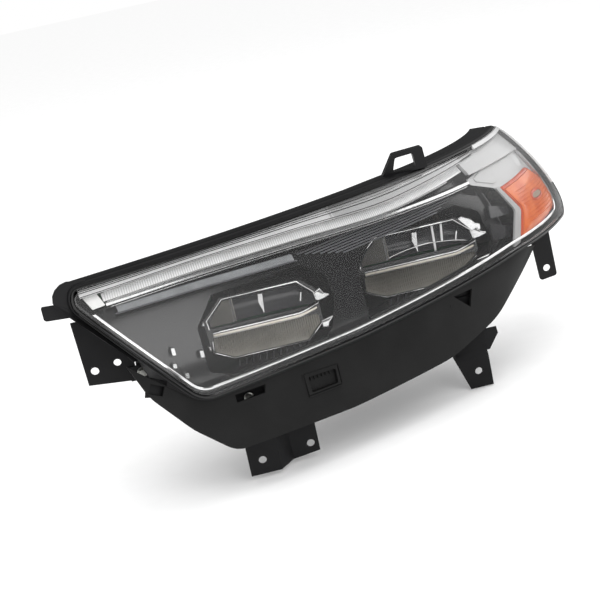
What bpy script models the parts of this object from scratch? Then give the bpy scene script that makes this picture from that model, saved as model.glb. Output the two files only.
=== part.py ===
"""Left-hand LED car headlight assembly, as separate solids.

Frame: +X towards the side of the car, -Y the way the beams point, +Z up.
The origin is on the rear face of the inboard mounting plate, midway between
its two bolt holes.

Most of the lamp follows one swept front surface. A point of it is given by
s (the length along the sweep from the inboard end), z (the height) and a
depth behind the lens. The rear wall is a flat plane turned about Z, and what
is fixed to it is given in that plane's own axes (x, y outwards, z).
"""
import math

import bmesh
import bpy
import numpy as np
from mathutils import Matrix, Vector

MM = 0.001
GAP = 0.3 * MM
WALL = 2.5 * MM

# Swept front surface
SWEEP_LENGTH = 0.80
SWEEP_START = (-0.011, -0.082)
HEADING = 14.0
HEADING_GAIN = 22.0
HEADING_WRAP = 36.0
WRAP_POWER = 4.5
RAKE_FOOT = -0.048
RAKE_SLOPE = 0.05
RAKE_CURVE = 3.0

# Outline of the lamp's front in (s, z), anticlockwise, with corner radii
RIM = (
    (0.112, -0.055, 0.040),
    (0.330, -0.047, 0.600),
    (0.600, -0.028, 0.600),
    (0.790, -0.026, 0.045),
    (0.805, 0.110, 0.018),
    (-0.013, 0.100, 0.017),
)
RIM_MAIN = (0, 3, 4, 5)
ALONG = 30
UP = 8
CROWD = 0.6
ARC_STEPS = 8

# Depths behind the lens face
LENS_THICK = 2.8 * MM
LENS_WALL = 26.0 * MM
LENS_EDGE = 3.5 * MM
LENS_WALL_THICK = 2.5 * MM
LIP_FRONT = 3.0 * MM
CHANNEL_FLOOR = 30.5 * MM
CHANNEL_WIDTH = 9.7 * MM
SHOULDER_DEPTH = 44.0 * MM
SHOULDER_DEPTH_END = 37.0 * MM
SHOULDER_FLARE = 20.0 * MM

# Flange that stands out beyond the rim at its inboard end, in (s, z)
FLANGE = (
    (0.0350, 0.1012), (0.0127, 0.1046), (0.0047, 0.1034), (-0.0031, 0.0996), (-0.0079, 0.0947),
    (-0.0102, 0.0881), (-0.0089, 0.0836), (-0.0028, 0.0759), (0.0045, 0.0677), (0.0118, 0.0595),
    (0.0210, 0.0496), (0.0309, 0.0385), (0.0416, 0.0257), (0.0491, 0.0169), (0.0526, 0.0105),
    (0.0603, 0.0114), (0.0106, 0.0732), (0.0092, 0.0753), (0.0071, 0.0830), (0.0092, 0.0908),
    (0.0149, 0.0964), (0.0226, 0.0985), (0.0350, 0.0990),
)
FLANGE_FRONT = 9.5 * MM
FLANGE_BACK = 13.5 * MM

# Rear wall plane
REAR_CENTRE = Vector((0.300, 0.245, 0.0))
REAR_TURN = math.radians(29.0)
REAR_LEFT = -0.215
REAR_RIGHT = 0.262
REAR_LOW = -0.080
REAR_LOW_BEND = 0.080
REAR_LOW_END = -0.020
REAR_HIGH = 0.081
REAR_HIGH_END = 0.082

# Light modules: centre of the front plate, width and height scale, corner cuts
MODULES = (
    ("inboard", Vector((0.1875, 0.0345, -0.0025)), 1.00, 1.00, (19.0, 17.5)),
    ("outboard", Vector((0.3993, 0.1570, -0.0060)), 1.14, 1.08, (33.0, 30.0)),
)
MODULE_DEPTH = 38.0 * MM
BLADE_STEPS = 8
FIN_COUNT = 9

# Aiming gear, in the rear wall's axes
PIVOT_X = 0.165
PIVOT_Y = -28.5 * MM
PIVOT_Z = 66.0 * MM
BALL_RADIUS = 5.0 * MM
AIM_X = 0.105
AIM_Z = -52.0 * MM
CARRIER_THICK = 3.0 * MM

# Bolt holes and fasteners
BOLT_HOLE = 4.85 * MM
SCREW_SHAFT = 2.0 * MM
SCREW_HOLE = SCREW_SHAFT + GAP
SCREW_HEX = 4.0 * MM
SCREW_FLANGE = 6.0 * MM

# Mask inside the lens, in (s, z)
BEZEL = (
    (0.112, -0.055, 0.040),
    (0.330, -0.047, 0.600),
    (0.628, -0.0275, 0.014),
    (0.628, 0.108, 0.014),
    (-0.013, 0.100, 0.017),
)
BEZEL_MAIN = (0, 2, 3, 4)
BEZEL_EDGE = 7.6 * MM
BEZEL_FOOT = 12.0 * MM
BEZEL_FRONT = 8.0 * MM
BEZEL_DEPTH = 27.6 * MM
BEZEL_THICK = 2.0 * MM

# Running light: heights of its middle and sections of (height, depth)
DRL_HEIGHT = 0.0785
DRL_RISE = 0.0045
DRL_GUIDE = (
    (-5.5 * MM, 15 * MM), (4.5 * MM, 13.5 * MM), (6.0 * MM, 16 * MM), (5 * MM, 20 * MM),
    (-5.5 * MM, 20 * MM),
)
DRL_TRAY = (
    (-9.5 * MM, 13 * MM), (-7.0 * MM, 13 * MM), (-6.2 * MM, 21 * MM), (7.5 * MM, 21 * MM),
    (7.5 * MM, 23.5 * MM), (-9.5 * MM, 23.5 * MM),
)
DRL_LOWER_HEIGHT = 0.0615
DRL_LOWER_FALL = 0.003
DRL_LOWER = ((-5 * MM, 21 * MM), (5 * MM, 19 * MM), (5 * MM, 23.5 * MM), (-5 * MM, 25.5 * MM))

# Turn lamp, in (s, z), and its socket on the rear wall
TURN_BEZEL = (
    (0.616, -0.0160, 0.004), (0.776, -0.0130, 0.026), (0.788, 0.094, 0.010),
    (0.582, 0.0690, 0.004), (0.636, 0.0495, 0.006), (0.652, 0.0180, 0.010),
)
AMBER = (
    (0.631, -0.0125, 0.003), (0.770, -0.0095, 0.026), (0.781, 0.0260, 0.012),
    (0.745, 0.0430, 0.020), (0.649, 0.0465, 0.004), (0.664, 0.0170, 0.008),
)
AMBER_MAIN = (0, 1, 2, 4)
WINDOW = (0.717, 0.0195)
WINDOW_HALF = (0.0165, 0.0042)
TURN_X = 0.236
TURN_Z = 0.022
TURN_BORE = 13.0 * MM

# What the rear wall carries, in its own axes
CAP_X = -0.128
CAP_Z = 0.000
CAP_BORE = 28.0 * MM
CAP_COLLAR = 33.0 * MM
DRIVER_X = 0.008
DRIVER_Z = -0.005
PLUG_X = 0.150
PLUG_Z = 0.040
PIN_HALF = 0.6 * MM
VENTS = ((-0.045, 0.062), (0.205, 0.062))

# Skirt panel and brackets
SKIRT_FOOT = (
    (0.046, 0.004, 0.001), (0.061, -0.036, 0.060), (0.100, -0.086, 0.080), (0.140, -0.122, 0.030),
    (0.300, -0.1235, 0.300), (0.452, -0.1165, 0.250), (0.548, -0.0970, 0.200), (0.680, -0.0400, 0.001),
)
SKIRT_DEPTH = 14.0 * MM
SKIRT_TUCK = 9.0 * MM
SKIRT_LEFT = 9
SKIRT_UNDER = 24
SKIRT_UP = 6
OUTBOARD_Y = 0.1275
BRACKET_SCREWS = ((0.0385, -0.0060, -0.0145), (0.1500, 0.0033, -0.0760), (0.4380, OUTBOARD_Y, -0.0800))


# ---------------------------------------------------------------- sweep

def heading(s):
    """Plan angle of the front surface at s."""
    u = np.clip(np.asarray(s, float) / SWEEP_LENGTH, 0.0, None)
    return np.radians(HEADING + HEADING_GAIN * u + HEADING_WRAP * u ** WRAP_POWER)


SWEEP_S = np.linspace(-0.06, 0.86, 921)
SWEEP_STEP = SWEEP_S[1] - SWEEP_S[0]
_MIDDLE = heading((SWEEP_S[1:] + SWEEP_S[:-1]) / 2)
SWEEP_X = np.concatenate([[0.0], np.cumsum(np.cos(_MIDDLE) * SWEEP_STEP)])
SWEEP_Y = np.concatenate([[0.0], np.cumsum(np.sin(_MIDDLE) * SWEEP_STEP)])
SWEEP_X += SWEEP_START[0] - np.interp(0.0, SWEEP_S, SWEEP_X)
SWEEP_Y += SWEEP_START[1] - np.interp(0.0, SWEEP_S, SWEEP_Y)


def lamp(s, z, depth=0.0):
    """World point at (s, z), a depth behind the lens face."""
    angle = float(heading(s))
    height = z - RAKE_FOOT
    back = RAKE_SLOPE * height + RAKE_CURVE * height * abs(height) + depth
    x = float(np.interp(s, SWEEP_S, SWEEP_X)) - math.sin(angle) * back
    y = float(np.interp(s, SWEEP_S, SWEEP_Y)) + math.cos(angle) * back
    return Vector((x, y, z))


REAR = Matrix.Translation(REAR_CENTRE) @ Matrix.Rotation(REAR_TURN, 4, 'Z')


def rear(x, y, z):
    """World point from the rear wall's own axes."""
    return REAR @ Vector((x, y, z))


# ------------------------------------------------------------- outlines

def offset_corners(corners, inset):
    """The corners of the same polygon with every side shifted inwards."""
    count = len(corners)
    shifted = []
    for i in range(count):
        before = Vector(corners[i - 1][:2])
        here = Vector(corners[i][:2])
        after = Vector(corners[(i + 1) % count][:2])
        first = (here - before).normalized()
        second = (after - here).normalized()
        n1 = Vector((-first.y, first.x))
        n2 = Vector((-second.y, second.x))
        bisector = (n1 + n2).normalized()
        point = here + bisector * (inset / bisector.dot(n1))
        shifted.append((point.x, point.y, max(corners[i][2] - inset, 1.0 * MM)))
    return shifted


def corner_arc(before, here, after, radius):
    """Points round one corner, tangent to both of its sides."""
    a, b, c = Vector(before[:2]), Vector(here[:2]), Vector(after[:2])
    first = (b - a).normalized()
    second = (c - b).normalized()
    cross = first.x * second.y - first.y * second.x
    turn = math.acos(max(-1.0, min(1.0, first.dot(second))))
    if turn < 1e-4:
        return [b]
    side = 1.0 if cross > 0 else -1.0
    reach = radius * math.tan(turn / 2)
    start = b - first * reach
    centre = start + Vector((-first.y, first.x)) * radius * side
    arm = start - centre
    points = []
    for k in range(ARC_STEPS + 1):
        angle = side * turn * k / ARC_STEPS
        points.append(centre + Matrix.Rotation(angle, 2) @ arm)
    return points


def outline_sides(corners, main, inset=0.0):
    """The outline as its four sides, each between the middles of two main corners."""
    shifted = offset_corners(corners, inset)
    count = len(shifted)
    arcs = []
    for i, corner in enumerate(shifted):
        arcs.append(corner_arc(shifted[i - 1], corner, shifted[(i + 1) % count], corner[2]))
    sides = []
    for k, start in enumerate(main):
        stop = main[(k + 1) % len(main)]
        half = ARC_STEPS // 2
        points = list(arcs[start][half:])
        i = (start + 1) % count
        while i != stop:
            points.extend(arcs[i])
            i = (i + 1) % count
        points.extend(arcs[stop][:half + 1])
        sides.append(points)
    return sides


def resample(points, count, crowd=CROWD):
    """Points along a polyline at equal steps, closer together near both ends."""
    xy = np.array([(p[0], p[1]) for p in points])
    lengths = np.concatenate([[0.0], np.cumsum(np.hypot(*np.diff(xy, axis=0).T))])
    t = np.linspace(0.0, 1.0, count + 1)
    t = (t - crowd * np.sin(2 * np.pi * t) / (2 * np.pi)) * lengths[-1]
    return list(zip(np.interp(t, lengths, xy[:, 0]), np.interp(t, lengths, xy[:, 1])))


def rim_loop(inset=0.0, corners=RIM, main=RIM_MAIN, along=ALONG, up=UP):
    """One closed loop of (s, z) points round an outline."""
    loop = []
    for side, count in zip(outline_sides(corners, main, inset), (along, up, along, up)):
        loop.extend(resample(side, count)[:-1])
    return loop


def patch(inset=0.0, corners=RIM, main=RIM_MAIN, along=ALONG, up=UP):
    """Rows of (s, z) points that fill an outline, bottom to top."""
    sides = outline_sides(corners, main, inset)
    bottom = np.array(resample(sides[0], along))
    right = np.array(resample(sides[1], up))
    top = np.array(resample(sides[2], along))[::-1]
    left = np.array(resample(sides[3], up))[::-1]
    rows = []
    for j in range(up + 1):
        v = j / up
        row = []
        for i in range(along + 1):
            u = i / along
            ruled = (1 - v) * bottom[i] + v * top[i] + (1 - u) * left[j] + u * right[j]
            corner = (1 - u) * (1 - v) * bottom[0] + u * (1 - v) * bottom[-1]
            corner = corner + u * v * top[-1] + (1 - u) * v * top[0]
            row.append(tuple(ruled - corner))
        rows.append(row)
    return rows


def smooth(t):
    """Smooth step from 0 to 1."""
    t = max(0.0, min(1.0, t))
    return t * t * (3 - 2 * t)


# --------------------------------------------------------------- shapes
# A shape is (vertices, faces). Shapes are combined and then made into objects.

def combine(*shapes):
    """Several shapes as one."""
    vertices, faces = [], []
    for shape in shapes:
        base = len(vertices)
        vertices.extend(shape[0])
        faces.extend([tuple(base + i for i in face) for face in shape[1]])
    return vertices, faces


def moved(shape, matrix):
    """The shape, moved by a matrix."""
    return [matrix @ Vector(v) for v in shape[0]], shape[1]


def loft(loops, closed=False):
    """Bands between loops of equal count, with both ends capped or joined up."""
    count = len(loops[0])
    vertices = [Vector(p) for loop in loops for p in loop]
    faces = []
    last = len(loops) if closed else len(loops) - 1
    for k in range(last):
        a = k * count
        b = ((k + 1) % len(loops)) * count
        for i in range(count):
            j = (i + 1) % count
            faces.append((a + i, a + j, b + j, b + i))
    if not closed:
        faces.append(tuple(range(count))[::-1])
        faces.append(tuple((len(loops) - 1) * count + i for i in range(count)))
    return vertices, faces


def sheet(front, back, walls=()):
    """A solid between two grids of points, with wall loops between their edges."""
    rows, columns = len(front), len(front[0])
    vertices = [Vector(p) for grid in (front, back) for row in grid for p in row]
    size = rows * columns
    faces = []
    for base in (0, size):
        for j in range(rows - 1):
            for i in range(columns - 1):
                a = base + j * columns + i
                faces.append((a, a + 1, a + columns + 1, a + columns))
    edge = [i for i in range(columns - 1)]
    edge += [j * columns + columns - 1 for j in range(rows - 1)]
    edge += [(rows - 1) * columns + i for i in range(columns - 1, 0, -1)]
    edge += [j * columns for j in range(rows - 1, 0, -1)]
    rings = [edge]
    for wall in walls:
        base = len(vertices)
        vertices.extend(Vector(p) for p in wall)
        rings.append([base + i for i in range(len(wall))])
    rings.append([size + i for i in edge])
    for a, b in zip(rings, rings[1:]):
        for i in range(len(edge)):
            j = (i + 1) % len(edge)
            faces.append((a[i], a[j], b[j], b[i]))
    return vertices, faces


def prism(points, plane, low, high):
    """A polygon in the plane XZ, XY or YZ, extruded between two heights."""
    place = {
        'XZ': lambda p, h: Vector((p[0], h, p[1])),
        'XY': lambda p, h: Vector((p[0], p[1], h)),
        'YZ': lambda p, h: Vector((h, p[0], p[1])),
    }[plane]
    return loft([[place(p, h) for p in points] for h in (low, high)])


def box(low, high):
    """An axis-aligned block."""
    rectangle = ((low[0], low[1]), (high[0], low[1]), (high[0], high[1]), (low[0], high[1]))
    return prism(rectangle, 'XY', low[2], high[2])


def lamp_prism(points, near, far):
    """A polygon in (s, z), extruded between two depths behind the lens."""
    return loft([[lamp(s, z, d) for s, z in points] for d in (near, far)])


def lamp_bar(stations, section, centre):
    """A bar along the sweep: its section is (z offset, depth), about a centre height."""
    loops = [[lamp(s, centre(s) + dz, d) for dz, d in section] for s in stations]
    return loft(loops)


def rounded(points, steps=4):
    """A polygon whose corners (x, y, radius) are rounded."""
    result = []
    count = len(points)
    for i in range(count):
        arc = corner_arc(points[i - 1], points[i], points[(i + 1) % count], points[i][2])
        keep = [arc[round(k * (len(arc) - 1) / steps)] for k in range(steps + 1)] if len(arc) > 1 else arc
        result.extend((p.x, p.y) for p in keep)
    return result


def along(point, direction):
    """Matrix whose local +Z runs along a direction from a point."""
    turn = Vector((0, 0, 1)).rotation_difference(Vector(direction)).to_matrix().to_4x4()
    return Matrix.Translation(point) @ turn


def turned(profile, segments, matrix, closed=False):
    """A profile of (radius, height) turned about local Z."""
    loops = []
    for radius, height in profile:
        loop = []
        for k in range(segments):
            angle = 2 * math.pi * k / segments
            loop.append((radius * math.cos(angle), radius * math.sin(angle), height))
        loops.append(loop)
    return moved(loft(loops, closed), matrix)


def rod(radius, start, end, segments=16):
    """A round rod between two points."""
    start, end = Vector(start), Vector(end)
    length = (end - start).length
    return turned(((radius, 0.0), (radius, length)), segments, along(start, end - start))


def hex_screw(seat, direction, length):
    """A flanged hex screw. Its flange rests on the seat, its shaft runs along direction."""
    sides = 12
    loops = []
    top = 7.5 * MM
    for radius, height, hexagon in (
        (SCREW_SHAFT, length, False),
        (SCREW_SHAFT, 0.0, False),
        (SCREW_FLANGE, 0.0, False),
        (SCREW_FLANGE, -1.2 * MM, False),
        (SCREW_HEX, -2.0 * MM, True),
        (SCREW_HEX, -top, True),
    ):
        loop = []
        for k in range(sides):
            angle = 2 * math.pi * k / sides
            bulge = 1 / math.cos((angle % (math.pi / 3)) - math.pi / 6) if hexagon else 1.0
            loop.append((radius * bulge * math.cos(angle), radius * bulge * math.sin(angle), height))
        loops.append(loop)
    return moved(loft(loops), along(seat, direction))


# -------------------------------------------------------------- objects

def clear_scene():
    for item in list(bpy.data.objects):
        bpy.data.objects.remove(item, do_unlink=True)


def finish_material(name, colour, roughness, metallic=0.0, alpha=1.0):
    """A Principled material."""
    material = bpy.data.materials.new(name)
    material.use_nodes = True
    shader = material.node_tree.nodes["Principled BSDF"]
    shader.inputs["Base Color"].default_value = (*colour, 1.0)
    shader.inputs["Roughness"].default_value = roughness
    shader.inputs["Metallic"].default_value = metallic
    shader.inputs["Alpha"].default_value = alpha
    material.diffuse_color = (*colour, alpha)
    return material


def make(name, shape, material=None, origin=None):
    """An object from a shape, with its origin where the matrix says."""
    origin = origin or Matrix.Identity(4)
    inverse = origin.inverted()
    work = bmesh.new()
    vertices = [work.verts.new(inverse @ Vector(v)) for v in shape[0]]
    for face in shape[1]:
        work.faces.new([vertices[i] for i in face])
    bmesh.ops.recalc_face_normals(work, faces=work.faces)
    if work.calc_volume(signed=True) < 0:
        bmesh.ops.reverse_faces(work, faces=work.faces)
    mesh = bpy.data.meshes.new(name)
    work.to_mesh(mesh)
    work.free()
    mesh.shade_smooth()
    mesh.set_sharp_from_angle(angle=math.radians(35))
    item = bpy.data.objects.new(name, mesh)
    item.matrix_world = origin
    if material:
        mesh.materials.append(material)
    bpy.context.scene.collection.objects.link(item)
    return item


def boolean(target, shape, operation, name):
    """Cut a shape from an object, or join it on."""
    tool = make(name, shape)
    tool.hide_render = True
    tool.display_type = 'WIRE'
    modifier = target.modifiers.new(name, 'BOOLEAN')
    modifier.operation = operation
    modifier.solver = 'EXACT'
    modifier.object = tool
    return target


def cut(target, shape, name):
    return boolean(target, shape, 'DIFFERENCE', name)


def join(target, shape, name):
    return boolean(target, shape, 'UNION', name)


# ------------------------------------------------------- front: lens, rim

def lamp_loop(inset, depth, corners=RIM, main=RIM_MAIN):
    return [lamp(s, z, depth) for s, z in rim_loop(inset, corners, main)]


def lamp_grid(inset, depth, corners=RIM, main=RIM_MAIN):
    return [[lamp(s, z, depth) for s, z in row] for row in patch(inset, corners, main)]


def build_lens(material):
    """Clear cover: the swept face and the wall that stands in the rim's channel."""
    inner = LENS_EDGE + LENS_WALL_THICK
    shape = sheet(
        lamp_grid(LENS_EDGE, 0.0),
        lamp_grid(inner, LENS_THICK),
        (lamp_loop(LENS_EDGE, LENS_WALL), lamp_loop(inner, LENS_WALL)),
    )
    return make("lens_cover", shape, material)


def build_seal(material):
    """Bead between the lens wall and the channel floor."""
    low, high = 3.2 * MM, 9.4 * MM
    near, far = LENS_WALL + GAP, CHANNEL_FLOOR - GAP
    loops = [lamp_loop(low, near), lamp_loop(high, near), lamp_loop(high, far), lamp_loop(low, far)]
    return make("lens_seal", loft(loops, closed=True), material)


def rear_loop(inset, y):
    """The rim's outline carried over to the rear wall."""
    base = rim_loop(0.0)
    lowest = min(p[0] for p in base)
    span = max(p[0] for p in base) - lowest
    points = []
    for s, z in rim_loop(inset):
        share = (s - lowest) / span
        foot = -0.055 + 0.030 * smooth(s / 0.60)
        height = (z - foot) / (0.104 - foot)
        x = REAR_LEFT + (REAR_RIGHT - REAR_LEFT) * share
        fall = max(0.0, (x - REAR_LOW_BEND) / (REAR_RIGHT - REAR_LOW_BEND))
        low = REAR_LOW + (REAR_LOW_END - REAR_LOW) * fall
        high = REAR_HIGH + (REAR_HIGH_END - REAR_HIGH) * share
        points.append(rear(x, y, low + (high - low) * height))
    return points


def shoulder_loop(inset, extra):
    """Just behind the rim: wider along the bottom, where the modules need room."""
    wide = rim_loop(inset - SHOULDER_FLARE)
    narrow = rim_loop(inset)
    points = []
    for a, b in zip(wide, narrow):
        foot = smooth((0.030 - b[1]) / 0.05) * (1 - 0.8 * smooth((b[0] - 0.55) / 0.12))
        s = b[0] + (a[0] - b[0]) * foot
        z = b[1] + (a[1] - b[1]) * foot
        depth = SHOULDER_DEPTH + (SHOULDER_DEPTH_END - SHOULDER_DEPTH) * smooth((s - 0.55) / 0.15)
        points.append(lamp(s, z, depth + extra))
    return points


def build_housing(material):
    """Black tub: rim channel, side walls and flat rear wall, with its moulded tabs."""
    floor_back = CHANNEL_FLOOR + WALL
    inner = CHANNEL_WIDTH + WALL
    loops = [
        rear_loop(3.5 * MM, -WALL),
        shoulder_loop(10.7 * MM, GAP),
        lamp_loop(WALL + 1 * MM, floor_back + GAP),
        lamp_loop(inner, floor_back),
        lamp_loop(inner, CHANNEL_FLOOR),
        lamp_loop(WALL, CHANNEL_FLOOR),
        lamp_loop(WALL, LIP_FRONT),
        lamp_loop(0.0, LIP_FRONT),
        lamp_loop(0.0, floor_back),
        shoulder_loop(8.0 * MM, 0.0),
        rear_loop(0.0, 0.0),
    ]
    housing = make("housing", loft(loops), material)
    join(housing, lamp_prism(FLANGE, FLANGE_FRONT, FLANGE_BACK), "housing_flange")
    join(housing, housing_blocks(), "housing_blocks")
    join(housing, housing_collars(), "housing_collars")
    cut(housing, housing_holes(), "housing_holes")
    return housing


def housing_blocks():
    """Screw blocks for the brackets, and the tabs moulded in one with the tub."""
    loop_legs = rounded((
        (0.378, 0.1048, 0.001), (0.437, 0.1052, 0.001), (0.435, 0.1335, 0.003), (0.396, 0.1315, 0.004),
    ))
    outboard = ((0.5665, -0.0262), (0.5930, -0.0262), (0.5950, -0.0910), (0.5710, -0.0940))
    lower = lamp(0.0162, 0.066, 28.5 * MM)
    upper = lamp(0.0017, 0.084, 11 * MM)
    inboard = ((-0.0535, 0.0690), (lower.x, 0.0660), (upper.x, 0.0840), (-0.0535, 0.0860))
    return combine(
        box((0.0330, -0.0030, -0.0250), (0.0720, 0.0200, -0.0040)),
        box((0.1340, 0.0063, -0.0860), (0.1660, 0.0240, -0.0520)),
        box((0.4180, OUTBOARD_Y + 3.3 * MM, -0.0980), (0.4580, 0.1680, -0.0465)),
        prism(loop_legs, 'XZ', 0.1760, 0.1880),
        prism(outboard, 'XZ', 0.2380, 0.2410),
        prism(inboard, 'XZ', lower.y - 1.5 * MM, lower.y + 1.5 * MM),
    )


def housing_collars():
    """Collars on the rear wall: access hole, turn lamp socket and aiming screw."""
    def collar(x, z, radius, low, high, segments):
        return turned(((radius, low), (radius, high)), segments, along(rear(x, 0, z), rear_normal()))
    return combine(
        collar(CAP_X, CAP_Z, CAP_COLLAR, -1.0 * MM, 8.0 * MM, 32),
        collar(TURN_X, TURN_Z, 16.0 * MM, -1.0 * MM, 5.0 * MM, 24),
        collar(AIM_X, AIM_Z, 11.0 * MM, -1.0 * MM, 6.0 * MM, 16),
    )


def rear_normal():
    """The way out through the rear wall."""
    return (REAR.to_3x3() @ Vector((0, 1, 0))).normalized()


def rear_hole(x, z, radius, segments=16):
    """A bore square to the rear wall."""
    return rod(radius, rear(x, -12 * MM, z), rear(x, 16 * MM, z), segments)


def housing_holes():
    """Every opening in the tub."""
    window = rounded((
        (0.393, 0.1090, 0.002), (0.423, 0.1090, 0.002), (0.4215, 0.1270, 0.003), (0.3985, 0.1255, 0.003),
    ))
    driver = box((DRIVER_X - 0.036, -0.012, -0.028), (DRIVER_X + 0.036, 0.016, 0.018))
    plug = box((PLUG_X - 0.012, -0.012, PLUG_Z - 0.005), (PLUG_X + 0.012, 0.016, PLUG_Z + 0.005))
    return combine(
        rear_hole(CAP_X, CAP_Z, CAP_BORE, 32),
        rear_hole(TURN_X, TURN_Z, TURN_BORE, 24),
        rear_hole(AIM_X, AIM_Z, 6.3 * MM),
        *(rear_hole(x, z, 3.4 * MM, 12) for x, z in VENTS),
        *(rear_hole(x, z, SCREW_HOLE, 12) for x, z in driver_screws()),
        moved(driver, REAR),
        moved(plug, REAR),
        prism(window, 'XZ', 0.1700, 0.1950),
        rod(BOLT_HOLE, (0.5825, 0.230, -0.0785), (0.5825, 0.250, -0.0785)),
        *(rod(SCREW_HOLE, (x, y - MM, z), (x, y + 14 * MM, z), 12) for x, y, z in BRACKET_SCREWS),
    )


# ------------------------------------------------ inside the lens: trims

def bezel_loop(extra):
    """Edge of the bezel's tapered wall: near the lens, except behind the turn lamp."""
    points = []
    near = rim_loop(BEZEL_EDGE + extra, BEZEL, BEZEL_MAIN)
    far = rim_loop(BEZEL_FOOT + extra, BEZEL, BEZEL_MAIN)
    for a, b in zip(near, far):
        share = 0.75 * smooth((a[0] - 0.540) / 0.045)
        s, z = a[0] + (b[0] - a[0]) * share, a[1] + (b[1] - a[1]) * share
        points.append(lamp(s, z, BEZEL_FRONT + (BEZEL_DEPTH - BEZEL_FRONT) * share))
    return points


def build_bezel(material):
    """Gloss black mask with an opening for each module."""
    shape = sheet(
        lamp_grid(BEZEL_FOOT + BEZEL_THICK, BEZEL_DEPTH, BEZEL, BEZEL_MAIN),
        lamp_grid(BEZEL_FOOT, BEZEL_DEPTH + BEZEL_THICK, BEZEL, BEZEL_MAIN),
        (bezel_loop(BEZEL_THICK), bezel_loop(0.0)),
    )
    bezel = make("bezel", shape, material)
    for name, centre, wide, high, _ in MODULES:
        cut(bezel, module_opening(centre, wide, high), "bezel_opening_" + name)
    return bezel


def module_opening(centre, wide, high):
    """The hole that a module looks out of."""
    corners = (
        (-77, 22, 6), (-53, 50, 8), (56, 50, 10), (84, 34, 12),
        (88, 2, 12), (78, -27, 10), (62, -40.5, 8), (-46, -40.5, 8), (-75, -29, 8),
    )
    points = []
    for x, z, radius in corners:
        points.append((centre.x + x * wide * MM, centre.z + z * high * MM, radius * MM))
    return prism(rounded(points, 3), 'XZ', centre.y - 0.120, centre.y + 0.075)


def build_trim_line(material):
    """Bright line round the inside of the bezel's edge."""
    low, high = 10.6 * MM, 12.8 * MM
    near, far = 8.5 * MM, 11.5 * MM
    loops = [lamp_loop(low, near), lamp_loop(high, near), lamp_loop(high, far), lamp_loop(low, far)]
    return make("trim_line", loft(loops, closed=True), material)


def drl_centre(s):
    """Height of the daytime running light along the sweep."""
    return DRL_HEIGHT + DRL_RISE * smooth(s / 0.35)


def lower_guide_centre(s):
    """Height of the second, lower light guide along the sweep."""
    return DRL_LOWER_HEIGHT - DRL_LOWER_FALL * smooth(s / 0.30)


def build_running_light(chrome, clear, white, board):
    """Light guide, its reflector tray, the white end block and the LED board."""
    stations = [0.050 + 0.0205 * k for k in range(25)]
    make("drl_light_guide", lamp_bar(stations, DRL_GUIDE, drl_centre), clear)
    stations = [0.034 + 0.0195 * k for k in range(30)]
    make("drl_reflector", lamp_bar(stations, DRL_TRAY, drl_centre), chrome)
    stations = [0.058 + 0.0237 * k for k in range(11)]
    make("drl_lower_guide", lamp_bar(stations, DRL_LOWER, lower_guide_centre), clear)
    block = ((0.0290, 0.0725), (0.0460, 0.0725), (0.0405, 0.0858), (0.0216, 0.0858))
    make("drl_end_block", lamp_prism(block, 13 * MM, 20.5 * MM), white)
    plate = ((0.0350, 0.0700), (0.0560, 0.0700), (0.0500, 0.0860), (0.0290, 0.0860))
    make("drl_led_board", lamp_prism(plate, 24 * MM, 25.6 * MM), board)


# ------------------------------------------------------------ turn lamp

def side_grid(corners, main, inset, depth):
    """A small outline's patch, laid on the sweep."""
    return [[lamp(s, z, depth) for s, z in row] for row in patch(inset, corners, main, 12, 6)]


def side_loop(corners, main, inset, depth):
    """A small outline's loop, laid on the sweep."""
    return [lamp(s, z, depth) for s, z in rim_loop(inset, corners, main, 12, 6)]


def build_turn_lamp(silver, amber, grey, glass, plastic):
    """Silver bezel, amber lens with its window, bulb and twist-in holder."""
    main = (0, 1, 2, 3)
    shape = sheet(side_grid(TURN_BEZEL, main, 0.0, 19.5 * MM), side_grid(TURN_BEZEL, main, 0.0, 21.5 * MM))
    bezel = make("turn_bezel", shape, silver)
    hole = rod(TURN_BORE, rear(TURN_X, -0.15, TURN_Z), rear(TURN_X, -0.05, TURN_Z), 20)
    cut(bezel, hole, "turn_bezel_hole")
    shape = sheet(
        side_grid(AMBER, AMBER_MAIN, 0.0, 10.5 * MM),
        side_grid(AMBER, AMBER_MAIN, 2.0 * MM, 12.8 * MM),
        (side_loop(AMBER, AMBER_MAIN, 0.0, 19.0 * MM), side_loop(AMBER, AMBER_MAIN, 2.0 * MM, 19.0 * MM)),
    )
    make("amber_lens", shape, amber)
    oval = []
    for k in range(16):
        angle = 2 * math.pi * k / 16
        oval.append((
            WINDOW[0] + WINDOW_HALF[0] * math.cos(angle),
            WINDOW[1] + WINDOW_HALF[1] * math.sin(angle),
        ))
    make("side_marker_window", lamp_prism(oval, 8.6 * MM, 10.2 * MM), grey)

    axis = along(rear(TURN_X, 0, TURN_Z), rear_normal())
    bulb = ((3.0, -98), (6.5, -95), (8.5, -89), (8.5, -82), (6.0, -74), (6.0, -65.3))
    make("turn_bulb", turned([(r * MM, h * MM) for r, h in bulb], 16, axis), glass, axis)
    holder = ((9.0, -65), (11.5, -61), (11.5, 5.3), (15.5, 5.3), (15.5, 8.5), (10.0, 9.5), (10.0, 19.0))
    shape = turned([(r * MM, h * MM) for r, h in holder], 24, axis)
    socket = make("turn_bulb_holder", shape, plastic, axis)
    wing = box((-0.020, -0.004, 0.0088), (0.020, 0.004, 0.0170))
    join(socket, moved(wing, axis), "turn_bulb_wing")


# -------------------------------------------------------------- modules

def module_outline(wide, high, chamfer, grow):
    """Front plate of a module, in its own X and Z."""
    cx, cz = chamfer
    corners = (
        (-67, -24), (-44, -34.9), (68 - cx, -34.9), (69, -33.5 + cz), (67, 26), (49, 41),
        (-45, 41), (-69, 17),
    )
    points = offset_corners([(x * wide * MM, z * high * MM, 2 * MM) for x, z in corners], -grow)
    return [(p[0], p[1]) for p in points]


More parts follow.
